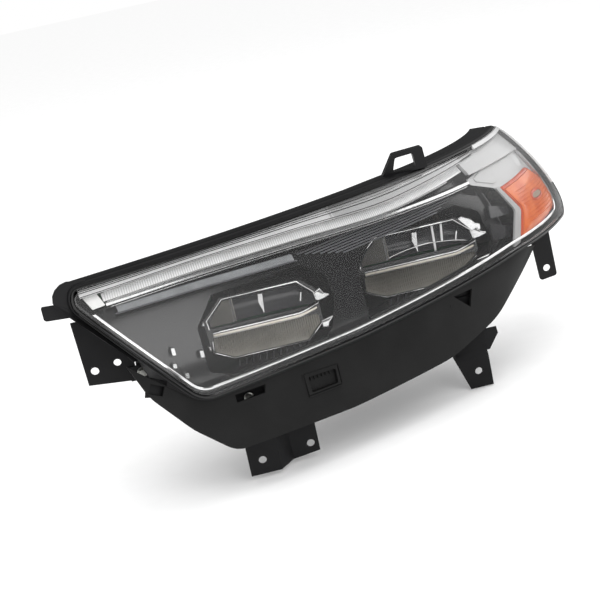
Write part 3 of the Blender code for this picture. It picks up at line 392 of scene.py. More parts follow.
BLACK_PLASTIC = MouldedPlastic(
    "black_polypropylene", "black_plastic", "#151516", "#1a1a1b",
    0.45, 1.2, 0.03, 0.2,
)
SKIRT_PLASTIC = MouldedPlastic(
    "grained_polypropylene", "black_plastic", "#1a1a1a", "#1f1f1f",
    0.50, 1.2, 0.03, 0.12,
)
# Gloss black of the cover's border. The same black is also used as painted shade: in the shadow strips
# beside the running light and in the tray's grooves.
RIM_BLACK_AND_PAINTED_SHADE = GlossPlastic("polished_black_abs_and_painted_shade", "black_plastic", "#070707", "#0b0b0c", 0.16, 40.0, 0.35)
BRACKET_PLASTIC = MouldedPlastic(
    "glass_filled_nylon", "black_plastic", "#171718", "#1c1c1d",
    0.50, 1.6, 0.03, 0.12,
)
MASK_BLACK = GlossPlastic("gloss_black_mask", "gloss_black", "#0c0c0d", "#121213", 0.14)
MASK_GREY = GlossPlastic("charcoal_mask", "gloss_black", "#1d1d1f", "#262628", 0.20)
SMOKE_CHROME = GlossPlastic("smoked_reflector", "chrome", "#343436", "#464648", 0.12)
FLUTE_CHROME = GlossPlastic("fluted_reflector", "chrome", "#67645d", "#85827a", 0.18)
RIB_GREY = MouldedPlastic("satin_mask_rib", "gloss_black", "#56565a", "#626266", 0.30)
# Satin silver of the tray and of the outboard border. On the running light's ticks, which are ribs of the
# pale guide itself, this darker grey is painted shade.
TRAY_GREY_AND_TICK_SHADE = MouldedPlastic("satin_silver_tray_and_tick_shade", "silver_paint", "#b8b8b8", "#cbcbcb", 0.30)
BRIGHT_CHROME = VacuumChrome("bright_chrome", "chrome")
TRAY_CHROME = VacuumChrome("satin_chrome", "chrome", "#c0c0c0", "#d2d2d2", 0.26)
CLEAR = ClearCover()
SILVER = SilverPaint()
AMBER_OPTIC = MouldedOptic("amber_acrylic", "amber", "#cf5a1c", "#e67a3c", 0.16, 0.15)
AMBER_DEEP = MouldedOptic("deep_amber_acrylic", "amber", "#b23c12", "#cf5526", 0.16, 0.10)
GUIDE_OPTIC = MouldedOptic("frosted_acrylic_guide", "light_guide", "#e6e6e6", "#f4f4f4", 0.20, 0.05)
FAINT_OPTIC = MouldedOptic("grey_acrylic_guide", "light_guide", "#77797b", "#8d8f91", 0.25, 0.05)
BLADE_OPTIC = MouldedOptic("cream_acrylic_blade", "light_guide", "#e6dccd", "#f6efe4", 0.18, 0.10)
WHITE_PLASTIC = MouldedPlastic("white_abs", "white_plastic", "#dededc", "#efefee", 0.35)
GREY_PLASTIC = MouldedPlastic("grey_window", "grey_plastic", "#857263", "#9a8676", 0.30)
BULB_GLASS = MouldedOptic("bulb_glass", "bulb_glass", "#e8e4dc", "#f4f1ea", 0.05, 0.85)
RUBBER = MouldedPlastic("moulded_epdm", "rubber", "#131313", "#1c1c1c", 0.75, 2.0)
NYLON = MouldedPlastic("natural_nylon", "nylon", "#cfc8b4", "#ddd7c6", 0.45)
ZINC = BareMetal("zinc_plated_steel", "zinc_steel", "#a5a6a2", "#c2c2bc", 0.34)
CAST_ALUMINIUM = BareMetal("die_cast_aluminium", "aluminium", "#8f9193", "#aaacae", 0.46, 1.2)
BRASS = BareMetal("tinned_brass", "terminal_brass", "#b9a366", "#cdb87c", 0.30)
BOARD = SolderMask()


# --------------------------------------------------------- shape making

@dataclass
class Shape:
    """A mesh in the making: its points, and its faces as point numbers."""

    points: Loop
    faces: list[tuple[int, ...]]

    def __add__(self, other: "Shape") -> "Shape":
        """Both shapes as one."""
        base = len(self.points)
        shifted = [tuple(base + i for i in face) for face in other.faces]
        return Shape(self.points + other.points, self.faces + shifted)

    def moved(self, matrix: Matrix) -> "Shape":
        """The shape, moved by a matrix."""
        return Shape([matrix @ point for point in self.points], self.faces)


def together(shapes: Iterable[Shape]) -> Shape:
    """Several shapes as one."""
    return sum(shapes, Shape([], []))


def loft(loops: Sequence[Sequence[Vector]], closed: bool = False) -> Shape:
    """Bands between loops of equal count.

    Args:
        loops: The loops in order.
        closed: Whether the last loop joins up with the first. Otherwise both ends are capped.

    Returns:
        The closed shape.
    """
    count = len(loops[0])
    points = [Vector(p) for loop in loops for p in loop]
    faces = []
    for k in range(len(loops) if closed else len(loops) - 1):
        a, b = k * count, ((k + 1) % len(loops)) * count
        for i in range(count):
            j = (i + 1) % count
            faces.append((a + i, a + j, b + j, b + i))
    if not closed:
        faces.append(tuple(range(count))[::-1])
        faces.append(tuple((len(loops) - 1) * count + i for i in range(count)))
    return Shape(points, faces)


def grid_faces(rows: int, columns: int, base: int = 0) -> list[tuple[int, ...]]:
    """The faces of a grid of points."""
    faces = []
    for j in range(rows - 1):
        for i in range(columns - 1):
            a = base + j * columns + i
            faces.append((a, a + 1, a + columns + 1, a + columns))
    return faces


def grid_edge(rows: int, columns: int) -> list[int]:
    """The point numbers round the edge of a grid, anticlockwise from its first point."""
    edge = list(range(columns - 1))
    edge += [j * columns + columns - 1 for j in range(rows - 1)]
    edge += [(rows - 1) * columns + i for i in range(columns - 1, 0, -1)]
    return edge + [j * columns for j in range(rows - 1, 0, -1)]


def sheet(front: list[Loop], back: list[Loop], walls: Sequence[Loop] = ()) -> Shape:
    """A solid between two grids of points.

    Args:
        front: Rows of points of one face.
        back: Rows of points of the other face.
        walls: Loops that the edge runs through on its way from front to back.

    Returns:
        The closed shape.
    """
    rows, columns = len(front), len(front[0])
    points = [Vector(p) for grid in (front, back) for row in grid for p in row]
    size = rows * columns
    faces = grid_faces(rows, columns) + grid_faces(rows, columns, size)
    edge = grid_edge(rows, columns)
    rings = [edge]
    for wall in walls:
        rings.append([len(points) + i for i in range(len(wall))])
        points.extend(Vector(p) for p in wall)
    rings.append([size + i for i in edge])
    for a, b in zip(rings, rings[1:]):
        for i in range(len(edge)):
            j = (i + 1) % len(edge)
            faces.append((a[i], a[j], b[j], b[i]))
    return Shape(points, faces)


class Plane(Enum):
    """The plane that a flat outline lies in, before it is extruded across it."""

    FRONT = "XZ"
    PLAN = "XY"
    SIDE = "YZ"

    def place(self, point: Sequence[float], height: float) -> Vector:
        """The point of the outline at a height across the plane."""
        a, b = point[0], point[1]
        if self is Plane.FRONT:
            return Vector((a, height, b))
        return Vector((a, b, height)) if self is Plane.PLAN else Vector((height, a, b))


def prism(points: Sequence[Sequence[float]], plane: Plane, low: float, high: float) -> Shape:
    """A flat outline, extruded between two heights."""
    return loft([[plane.place(p, h) for p in points] for h in (low, high)])


def box(low: Corner, high: Corner) -> Shape:
    """A block between two corners."""
    outline = ((low[0], low[1]), (high[0], low[1]), (high[0], high[1]), (low[0], high[1]))
    return prism(outline, Plane.PLAN, low[2], high[2])


def along(point: Vector, direction: Vector) -> Matrix:
    """A matrix whose local +Z runs along a direction from a point."""
    turn = Vector((0, 0, 1)).rotation_difference(Vector(direction)).to_matrix().to_4x4()
    return Matrix.Translation(point) @ turn


def turned(profile: Sequence[Pair], segments: int, matrix: Matrix, closed: bool = False) -> Shape:
    """A profile of (radius, height) turned about the matrix's Z axis."""
    loops = []
    for radius, height in profile:
        angles = [2 * math.pi * k / segments for k in range(segments)]
        loops.append([Vector((radius * math.cos(a), radius * math.sin(a), height)) for a in angles])
    return loft(loops, closed).moved(matrix)


def rod(radius: float, start: Sequence[float], end: Sequence[float], segments: int = 24) -> Shape:
    """A round rod between two points."""
    start, end = Vector(start), Vector(end)
    length = (end - start).length
    return turned(((radius, 0.0), (radius, length)), segments, along(start, end - start))


def offset_corners(corners: Sequence[Corner], inset: float) -> list[Corner]:
    """The corners of a polygon, anticlockwise, with every side moved inwards.

    Args:
        corners: Corners as (a, b, radius).
        inset: How far the sides move.

    Returns:
        The new corners, whose radii shrink by the same amount.
    """
    result = []
    for i, corner in enumerate(corners):
        before = Vector(corners[i - 1][:2])
        here = Vector(corner[:2])
        after = Vector(corners[(i + 1) % len(corners)][:2])
        first = (here - before).normalized()
        second = (after - here).normalized()
        bisector = (Vector((-first.y, first.x)) + Vector((-second.y, second.x))).normalized()
        point = here + bisector * (inset / bisector.dot(Vector((-first.y, first.x))))
        result.append((point.x, point.y, max(corner[2] - inset, 0.6 * MM)))
    return result


def corner_arc(before: Sequence[float], here: Corner, after: Sequence[float], steps: int) -> Loop:
    """Points round one corner, tangent to both of its sides."""
    a, b, c = Vector(before[:2]), Vector(here[:2]), Vector(after[:2])
    first, second = (b - a).normalized(), (c - b).normalized()
    turn = math.acos(max(-1.0, min(1.0, first.dot(second))))
    if turn < 1e-4:
        return [b]
    side = 1.0 if first.x * second.y - first.y * second.x > 0 else -1.0
    start = b - first * (here[2] * math.tan(turn / 2))
    centre = start + Vector((-first.y, first.x)) * here[2] * side
    arm = start - centre
    return [centre + Matrix.Rotation(side * turn * k / steps, 2) @ arm for k in range(steps + 1)]


def rounded(corners: Sequence[Corner], steps: int = 6) -> list[Pair]:
    """The outline of a polygon whose corners (a, b, radius) are rounded."""
    result = []
    for i, corner in enumerate(corners):
        arc = corner_arc(corners[i - 1], corner, corners[(i + 1) % len(corners)], steps)
        result.extend((p.x, p.y) for p in arc)
    return result


def smooth(t: float) -> float:
    """Smooth step from 0 to 1."""
    t = max(0.0, min(1.0, t))
    return t * t * (3 - 2 * t)


# ------------------------------------------------------- lamp's surfaces

@dataclass
class Sweep:
    """The front surface: a plan curve that turns ever more, raked back as it rises."""

    length: float = 0.80
    start: Pair = (-0.011, -0.082)
    heading: float = 14.0
    heading_gain: float = 22.0
    heading_wrap: float = 36.0
    wrap_power: float = 4.5
    rake_foot: float = -0.048
    rake_slope: float = 0.05
    rake_curve: float = 3.0
    s: np.ndarray = field(init=False)
    x: np.ndarray = field(init=False)
    y: np.ndarray = field(init=False)

    def __post_init__(self) -> None:
        """Lays out the plan curve."""
        self.s = np.linspace(-0.06, 0.86, 921)
        step = self.s[1] - self.s[0]
        middle = self.angle((self.s[1:] + self.s[:-1]) / 2)
        self.x = np.concatenate([[0.0], np.cumsum(np.cos(middle) * step)])
        self.y = np.concatenate([[0.0], np.cumsum(np.sin(middle) * step)])
        self.x += self.start[0] - np.interp(0.0, self.s, self.x)
        self.y += self.start[1] - np.interp(0.0, self.s, self.y)

    def angle(self, s: float | np.ndarray) -> float | np.ndarray:
        """Plan angle of the surface at s."""
        u = np.clip(np.asarray(s, float) / self.length, 0.0, None)
        return np.radians(self.heading + self.heading_gain * u + self.heading_wrap * u ** self.wrap_power)

    def point(self, s: float, z: float, depth: float = 0.0) -> Vector:
        """The point at (s, z), a depth behind the lens face."""
        angle = float(self.angle(s))
        height = z - self.rake_foot
        back = self.rake_slope * height + self.rake_curve * height * abs(height) + depth
        x = float(np.interp(s, self.s, self.x)) - math.sin(angle) * back
        y = float(np.interp(s, self.s, self.y)) + math.cos(angle) * back
        return Vector((x, y, z))

    def prism(self, points: Sequence[Pair], near: float, far: float) -> Shape:
        """An outline in (s, z), extruded between two depths."""
        return loft([[self.point(s, z, d) for s, z in points] for d in (near, far)])

    def bar(self, stations: Iterable[float], section: Callable[[float], Sequence[Pair]]) -> Shape:
        """A bar along the sweep whose section, of (z, depth), is given at each station."""
        return loft([[self.point(s, z, d) for z, d in section(s)] for s in stations])


@dataclass
class RearWall:
    """The flat rear wall's own axes: x along it, y outwards, z up."""

    centre: Corner = (0.300, 0.245, 0.0)
    turn: float = math.radians(29.0)

    @property
    def matrix(self) -> Matrix:
        """From the wall's axes to the lamp's."""
        return Matrix.Translation(self.centre) @ Matrix.Rotation(self.turn, 4, 'Z')

    @property
    def normal(self) -> Vector:
        """The way out through the wall."""
        return (self.matrix.to_3x3() @ Vector((0, 1, 0))).normalized()

    def point(self, x: float, y: float, z: float) -> Vector:
        """The lamp's point for one given in the wall's axes."""
        return self.matrix @ Vector((x, y, z))

    def collar(self, x: float, z: float, radius: float, low: float, high: float) -> Shape:
        """A round boss or bore square to the wall."""
        return turned(((radius, low), (radius, high)), 40, along(self.point(x, 0, z), self.normal))


@dataclass
class Outline:
    """A closed outline in (s, z) with rounded corners, seen as four sides."""

    corners: tuple[Corner, ...]
    main: tuple[int, int, int, int]
    across: int = 96
    up: int = 26
    crowd: float = 0.6
    arc_steps: int = 16

    def sides(self, inset: float = 0.0) -> list[Loop]:
        """The four sides, each between the middles of two main corners."""
        corners = offset_corners(self.corners, inset)
        count = len(corners)
        arcs = []
        for i, corner in enumerate(corners):
            arcs.append(corner_arc(corners[i - 1], corner, corners[(i + 1) % count], self.arc_steps))
        sides = []
        for k, start in enumerate(self.main):
            stop = self.main[(k + 1) % len(self.main)]
            half = self.arc_steps // 2
            points = list(arcs[start][half:])
            i = (start + 1) % count
            while i != stop:
                points.extend(arcs[i])
                i = (i + 1) % count
            points.extend(arcs[stop][:half + 1])
            sides.append(points)
        return sides

    def resample(self, points: Loop, count: int, crowd: float | None = None) -> list[Pair]:
        """Points along a polyline, closer together near both ends."""
        crowd = self.crowd if crowd is None else crowd
        xy = np.array([(p[0], p[1]) for p in points])
        lengths = np.concatenate([[0.0], np.cumsum(np.hypot(*np.diff(xy, axis=0).T))])
        t = np.linspace(0.0, 1.0, count + 1)
        t = (t - crowd * np.sin(2 * np.pi * t) / (2 * np.pi)) * lengths[-1]
        return list(zip(np.interp(t, lengths, xy[:, 0]), np.interp(t, lengths, xy[:, 1])))

    def loop(self, inset: float = 0.0) -> list[Pair]:
        """One closed loop of (s, z) points."""
        points = []
        for side, count in zip(self.sides(inset), (self.across, self.up, self.across, self.up)):
            points.extend(self.resample(side, count)[:-1])
        return points

    def patch(self, inset: float = 0.0) -> list[list[Pair]]:
        """Rows of (s, z) points that fill the outline, bottom to top."""
        sides = self.sides(inset)
        bottom = np.array(self.resample(sides[0], self.across))
        right = np.array(self.resample(sides[1], self.up))
        top = np.array(self.resample(sides[2], self.across))[::-1]
        left = np.array(self.resample(sides[3], self.up))[::-1]
        rows = []
        for j in range(self.up + 1):
            v = j / self.up
            row = []
            for i in range(self.across + 1):
                u = i / self.across
                ruled = (1 - v) * bottom[i] + v * top[i] + (1 - u) * left[j] + u * right[j]
                corner = (1 - u) * (1 - v) * bottom[0] + u * (1 - v) * bottom[-1]
                row.append(tuple(ruled - corner - u * v * top[-1] - (1 - u) * v * top[0]))
            rows.append(row)
        return rows


SWEEP = Sweep()
REAR = RearWall()
RIM = Outline((
    (0.112, -0.055, 0.040),
    (0.330, -0.047, 0.600),
    (0.600, -0.028, 0.600),
    (0.790, -0.026, 0.045),
    (0.805, 0.110, 0.018),
    (-0.013, 0.100, 0.017),
), (0, 3, 4, 5))


def lamp_loop(outline: Outline, inset: float, depth: float) -> Loop:
    """An outline's loop, laid on the sweep at a depth."""
    return [SWEEP.point(s, z, depth) for s, z in outline.loop(inset)]


def lamp_grid(outline: Outline, inset: float, depth: float) -> list[Loop]:
    """An outline's patch, laid on the sweep at a depth."""
    return [[SWEEP.point(s, z, depth) for s, z in row] for row in outline.patch(inset)]


def ring(outline: Outline, section: Sequence[Pair]) -> Shape:
    """A section of (inset, depth) points, in mm, run round an outline."""
    return loft([lamp_loop(outline, inset * MM, depth * MM) for inset, depth in section], closed=True)


def path(knots: Sequence[Pair]) -> Callable[[float], float]:
    """A smooth height along the sweep through knots of (s, z)."""
    s = np.array([k[0] for k in knots])
    z = np.array([k[1] for k in knots])

    def height(at: float) -> float:
        """The height at s, eased between knots."""
        i = int(np.clip(np.searchsorted(s, at) - 1, 0, len(s) - 2))
        t = (at - s[i]) / (s[i + 1] - s[i])
        slopes = np.gradient(z, s)
        h = s[i + 1] - s[i]
        a = (2 * t ** 3 - 3 * t ** 2 + 1) * z[i] + (t ** 3 - 2 * t ** 2 + t) * h * slopes[i]
        return float(a + (-2 * t ** 3 + 3 * t ** 2) * z[i + 1] + (t ** 3 - t ** 2) * h * slopes[i + 1])
    return height


def top_edge(s: float) -> float:
    """Height of the cover's upper edge."""
    return 0.100 + 0.0122 * (s + 0.013)


def raised(height: Callable[[float], float], rise_mm: float) -> Callable[[float], float]:
    """A height along the sweep, moved up."""
    return lambda s: height(s) + rise_mm * MM


def between(
    low: Callable[[float], float], high: Callable[[float], float], share: float,
) -> Callable[[float], float]:
    """A height along the sweep, part of the way from one to another."""
    return lambda s: low(s) + (high(s) - low(s)) * share


# --------------------------------------------------------------- pieces

def mesh_of(shape: Shape, name: str, crease: float = 35.0) -> bpy.types.Mesh:
    """A mesh with outward faces, smooth but for its creases."""
    work = bmesh.new()
    points = [work.verts.new(p) for p in shape.points]
    for face in shape.faces:
        work.faces.new([points[i] for i in face])
    bmesh.ops.recalc_face_normals(work, faces=work.faces)
    if work.calc_volume(signed=True) < 0:
        bmesh.ops.reverse_faces(work, faces=work.faces)
    mesh = bpy.data.meshes.new(name)
    work.to_mesh(mesh)
    work.free()
    mesh.shade_smooth()
    mesh.set_sharp_from_angle(angle=math.radians(crease))
    return mesh


def place_piece(
    name: str,
    mesh: bpy.types.Mesh,
    finish: Finish,
    body: str = "root",
    stands_for: Sequence[str] = (),
    bevel_mm: float = 0.0,
) -> bpy.types.Object:
    """Puts one piece into the scene and says what it is.

    Args:
        name: The piece's name.
        mesh: Its mesh.
        finish: Its finish.
        body: The body it rides on.
        stands_for: The frame's nodes that it is shown instead of.
        bevel_mm: Width of the round on its sharp edges.

    Returns:
        The object.
    """
    item = bpy.data.objects.new(name, mesh)
    bpy.context.scene.collection.objects.link(item)
    mesh.materials.clear()
    mesh.materials.append(finish.material())
    if bevel_mm:
        rounding = item.modifiers.new("edge_round", 'BEVEL')
        rounding.width = bevel_mm * MM
        rounding.segments = 2
        rounding.limit_method = 'ANGLE'
        rounding.angle_limit = math.radians(35)
        rounding.harden_normals = True
    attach(item, body)
    if stands_for:
        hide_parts(*stands_for)
    LOG.info("%s on %s, %d faces", name, body, len(mesh.polygons))
    return item


def add_piece(
    name: str,
    shape: Shape,
    finish: Finish,
    body: str = "root",
    stands_for: Sequence[str] = (),
    bevel_mm: float = 0.0,
) -> bpy.types.Object:
    """A piece from a shape. The arguments are those of place_piece."""
    return place_piece(name, mesh_of(shape, name), finish, body, stands_for, bevel_mm)


class Joinery(Enum):
    """How one shape acts on another."""

    CUT = 'DIFFERENCE'
    JOIN = 'UNION'


def worked(
    mesh: bpy.types.Mesh, steps: Sequence[tuple[Joinery, Shape]], crease: float = 35.0,
) -> bpy.types.Mesh:
    """A mesh after its cuts and joins.

    Args:
        mesh: What is worked on.
        steps: What is done with which shape, in order.
        crease: Angle above which an edge stays sharp.

    Returns:
        The new mesh.
    """
    item = bpy.data.objects.new("work", mesh)
    bpy.context.scene.collection.objects.link(item)
    tools = []
    for how, shape in steps:
        tool = bpy.data.objects.new("tool", mesh_of(shape, "tool"))
        bpy.context.scene.collection.objects.link(tool)
        tools.append(tool)
        modifier = item.modifiers.new("step", 'BOOLEAN')
        modifier.operation = how.value
        modifier.solver = 'EXACT'
        modifier.object = tool
    graph = bpy.context.evaluated_depsgraph_get()
    result = bpy.data.meshes.new_from_object(item.evaluated_get(graph))
    for thing in (item, *tools):
        bpy.data.objects.remove(thing, do_unlink=True)
    result.shade_smooth()
    result.set_sharp_from_angle(angle=math.radians(crease))
    return result


def refined(node: str, bevel_mm: float, finish: Finish, body: str = "root") -> bpy.types.Object:
    """A frame node's shape again, with its edges rounded."""
    work = bmesh.new()
    work.from_mesh(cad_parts[node].data)
    bmesh.ops.remove_doubles(work, verts=work.verts, dist=1e-5)
    bmesh.ops.dissolve_limit(work, angle_limit=math.radians(1.0), verts=work.verts, edges=work.edges)
    mesh = bpy.data.meshes.new(node + "_shape")
    work.to_mesh(mesh)
    work.free()
    mesh.shade_smooth()
    mesh.set_sharp_from_angle(angle=math.radians(35))
    return place_piece(node + "_part", mesh, finish, body, (node,), bevel_mm)


def dress(nodes: Iterable[str], finish: Finish) -> None:
    """Gives the frame's own nodes a finish."""
    for name in nodes:
        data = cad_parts[name].data
        data.materials.clear()
        data.materials.append(finish.material())
        LOG.info("%s dressed in %s", name, finish.name)


# -------------------------------------------------------------- housing

@dataclass
class Housing:
    """Black tub with its rim, tabs and collars."""

    channel_floor: float = 30.5 * MM
    channel_inner: float = 9.9 * MM
    wall: float = 2.5 * MM
    gap: float = 0.3 * MM
    lip_front: float = 3.0 * MM
    shoulder: float = 44.0 * MM
    shoulder_end: float = 37.0 * MM
    flare: float = 20.0 * MM
    rear_span: Pair = (-0.215, 0.262)
    rear_low: Pair = (-0.080, -0.020)
    rear_bend: float = 0.080
    rear_high: Pair = (0.081, 0.082)
    flange_line: tuple[Pair, ...] = (
        (0.0350, 0.1012), (0.0127, 0.1046), (0.0047, 0.1034), (-0.0031, 0.0996), (-0.0079, 0.0947),
        (-0.0102, 0.0881), (-0.0089, 0.0836), (-0.0028, 0.0759), (0.0045, 0.0677), (0.0118, 0.0595),
        (0.0210, 0.0496), (0.0309, 0.0385), (0.0416, 0.0257), (0.0491, 0.0169), (0.0526, 0.0105),
        (0.0603, 0.0114), (0.0106, 0.0732), (0.0092, 0.0753), (0.0071, 0.0830), (0.0092, 0.0908),
        (0.0149, 0.0964), (0.0226, 0.0985), (0.0350, 0.0990),
    )
    bolt_hole: float = 4.85 * MM
    screw_hole: float = 2.3 * MM

    def rear_loop(self, inset: float, y: float) -> Loop:
        """The rim's outline carried over to the rear wall."""
        base = [p[0] for p in RIM.loop()]
        lowest, span = min(base), max(base) - min(base)
        points = []
        for s, z in RIM.loop(inset):
            share = (s - lowest) / span
            foot = -0.055 + 0.030 * smooth(s / 0.60)
            x = self.rear_span[0] + (self.rear_span[1] - self.rear_span[0]) * share
            fall = max(0.0, (x - self.rear_bend) / (self.rear_span[1] - self.rear_bend))
            low = self.rear_low[0] + (self.rear_low[1] - self.rear_low[0]) * fall
            high = self.rear_high[0] + (self.rear_high[1] - self.rear_high[0]) * share
            points.append(REAR.point(x, y, low + (high - low) * (z - foot) / (0.104 - foot)))
        return points

    def shoulder_loop(self, inset: float, extra: float) -> Loop:
        """Just behind the rim: wider along the bottom, where the modules need room."""
        points = []
        for a, b in zip(RIM.loop(inset - self.flare), RIM.loop(inset)):
            foot = smooth((0.030 - b[1]) / 0.05) * (1 - 0.8 * smooth((b[0] - 0.55) / 0.12))
            s, z = b[0] + (a[0] - b[0]) * foot, b[1] + (a[1] - b[1]) * foot
            depth = self.shoulder + (self.shoulder_end - self.shoulder) * smooth((s - 0.55) / 0.15)
            points.append(SWEEP.point(s, z, depth + extra))
        return points

    def tub(self) -> Shape:
        """Rim channel, side walls and rear wall."""
        back = self.channel_floor + self.wall
        lip = self.lip_front
        return loft([
            self.rear_loop(3.5 * MM, -self.wall),
            self.shoulder_loop(10.7 * MM, self.gap),
            lamp_loop(RIM, self.wall + MM, back + self.gap),
            lamp_loop(RIM, self.channel_inner, back),
            lamp_loop(RIM, self.channel_inner, self.channel_floor),
            lamp_loop(RIM, self.wall, self.channel_floor),
            lamp_loop(RIM, self.wall, lip),
            lamp_loop(RIM, self.wall - 0.5 * MM, lip - 0.4 * MM),
            lamp_loop(RIM, 0.8 * MM, lip - 0.3 * MM),
            lamp_loop(RIM, 0.2 * MM, lip + 0.3 * MM),
            lamp_loop(RIM, 0.0, lip + 1.2 * MM),
            lamp_loop(RIM, 0.0, 11.0 * MM),
            lamp_loop(RIM, 0.9 * MM, 11.6 * MM),
            lamp_loop(RIM, 0.9 * MM, 13.4 * MM),
            lamp_loop(RIM, 0.0, 14.0 * MM),
            lamp_loop(RIM, 0.0, back),
            self.shoulder_loop(8.0 * MM, 0.0),
            self.rear_loop(0.0, 0.0),
        ])

    def flange(self) -> Shape:
        """Flange that stands out beyond the rim at its inboard end."""
        return SWEEP.prism(self.flange_line, 9.5 * MM, 13.5 * MM)

    def tabs(self) -> Shape:
        """Screw blocks for the brackets, and the tabs moulded in one with the tub."""
        legs = rounded((
            (0.378, 0.1048, 0.001), (0.437, 0.1052, 0.001), (0.435, 0.1335, 0.003), (0.396, 0.1315, 0.004),
        ))
        outboard = rounded((
            (0.5665, -0.0262, 0.001), (0.5710, -0.0940, 0.004), (0.5950, -0.0910, 0.004),
            (0.5930, -0.0262, 0.001),
        ))
        lower = SWEEP.point(0.0162, 0.066, 28.5 * MM)
        upper = SWEEP.point(0.0017, 0.084, 11 * MM)
        inboard = rounded((
            (-0.0535, 0.0690, 0.004), (lower.x, 0.0660, 0.001), (upper.x, 0.0840, 0.001),
            (-0.0535, 0.0860, 0.002),
        ))
        return together((
            box((0.0330, -0.0030, -0.0250), (0.0720, 0.0200, -0.0040)),
            box((0.1340, 0.0063, -0.0860), (0.1660, 0.0240, -0.0520)),
            box((0.4180, 0.1308, -0.0980), (0.4580, 0.1680, -0.0465)),
            prism(legs, Plane.FRONT, 0.1760, 0.1880),
            prism(outboard, Plane.FRONT, 0.2380, 0.2410),
            prism(inboard, Plane.FRONT, lower.y - 1.5 * MM, lower.y + 1.5 * MM),
        ))

    def collars(self) -> Shape:
        """Collars round the access hole, the turn lamp socket and the aiming screw."""
        return together((
            REAR.collar(-0.128, 0.0, 33 * MM, -1 * MM, 8 * MM),
            REAR.collar(0.236, 0.022, 16 * MM, -1 * MM, 5 * MM),
            REAR.collar(0.105, -0.052, 11 * MM, -1 * MM, 6 * MM),
        ))

    def ribs(self) -> Shape:
        """Stiffening ribs moulded on the outside of the rear wall."""
        uprights = (
            (-0.078, -0.055, 0.068), (0.084, -0.030, 0.072), (0.118, -0.026, 0.072), (0.188, -0.020, 0.050),
        )
        blocks = [box((x - 1 * MM, -1 * MM, low), (x + 1 * MM, 3 * MM, high)) for x, low, high in uprights]
        return together(blocks).moved(REAR.matrix)

    def openings(self) -> Shape:
        """Every hole through the tub."""
        def bore(x: float, z: float, radius: float) -> Shape:
            """A round cutter through the rear wall."""
            return REAR.collar(x, z, radius, -12 * MM, 16 * MM)
        window = rounded((
            (0.393, 0.1090, 0.002), (0.423, 0.1090, 0.002), (0.4215, 0.1270, 0.003), (0.3985, 0.1255, 0.003),
        ))
        screws = ((0.0385, -0.0060, -0.0145), (0.1500, 0.0033, -0.0760), (0.4380, 0.1275, -0.0800))
        return together((
            bore(-0.128, 0.0, 28 * MM),
            bore(0.236, 0.022, 13 * MM),
            bore(0.105, -0.052, 6.3 * MM),
            *(bore(x, 0.062, 3.4 * MM) for x in (-0.045, 0.205)),
            *(bore(0.008 + x * 0.05, -0.005 + z * 0.041, self.screw_hole) for x in (-1, 1) for z in (-1, 1)),
            box((-0.028, -0.012, -0.028), (0.044, 0.016, 0.018)).moved(REAR.matrix),
            box((0.138, -0.012, 0.035), (0.162, 0.016, 0.045)).moved(REAR.matrix),
            prism(window, Plane.FRONT, 0.1700, 0.1950),
            rod(self.bolt_hole, (0.5825, 0.230, -0.0785), (0.5825, 0.250, -0.0785)),
            *(rod(self.screw_hole, (x, y - MM, z), (x, y + 14 * MM, z)) for x, y, z in screws),
        ))

    def border(self) -> Shape:
        """Black border round the cover, narrower along the top edge."""
        section = ((2.4, 2.0, 0.9), (3.0, 2.2, -0.3), (4.2, 2.5, -0.7), (6.4, 2.9, -0.5), (7.0, 3.1, 0.0),
                   (7.0, 3.1, 4.0), (2.4, 2.0, 4.0))
        loops = []
        for low, high, depth in section:
            points = []
            for (s0, z0), (s1, z1) in zip(RIM.loop(low * MM), RIM.loop(high * MM)):
                top = smooth((z0 - top_edge(s0) + 0.014) / 0.010)
                points.append(SWEEP.point(s0 + (s1 - s0) * top, z0 + (z1 - z0) * top, depth * MM))
            loops.append(points)
        return loft(loops, closed=True)

    def pale_border(self) -> Shape:
        """The lighter border round the outboard end, laid over the black one."""
        section = ((2.0, 2.0), (2.2, -0.4), (4.2, -1.2), (6.6, -1.0), (7.4, 0.2), (7.4, 2.0))
        loops = [lamp_loop(RIM, inset * MM, depth * MM) for inset, depth in section]
        stations = [i for i, (s, z) in enumerate(RIM.loop(4 * MM)) if s > 0.640 and z > 0.012]
        return loft([[line[i] for line in loops] for i in stations])

    def build(self) -> None:
        """The tub, its rim and its fittings."""
        mesh = worked(mesh_of(self.tub(), "tub"), (
            (Joinery.JOIN, self.flange()), (Joinery.JOIN, self.tabs()),
            (Joinery.JOIN, self.collars()), (Joinery.JOIN, self.ribs()),
            (Joinery.CUT, self.openings()),
        ))
        place_piece("housing_tub", mesh, BLACK_PLASTIC, "root", ("housing",))
        add_piece("lens_border", self.border(), RIM_BLACK_AND_PAINTED_SHADE)
        add_piece("lens_border_outboard", self.pale_border(), TRAY_GREY_AND_TICK_SHADE)
        dress(("lens_seal",), RUBBER)


@dataclass
class LensCover:
    """Clear cover over the whole front."""

    edge: float = 6.6 * MM
    thick: float = 2.8 * MM
    wall: float = 4.0 * MM
    wall_thick: float = 0.4 * MM

    def build(self) -> None:
        """The swept face and its wall."""
        inner = self.edge + self.wall_thick
        shape = sheet(
            lamp_grid(RIM, self.edge, 0.0), lamp_grid(RIM, inner, self.thick),
            (lamp_loop(RIM, self.edge, self.wall), lamp_loop(RIM, inner, self.wall)),
        )
        add_piece("clear_cover", shape, CLEAR, "root", ("lens_cover",))


# ---------------------------------------------------------------- bezel

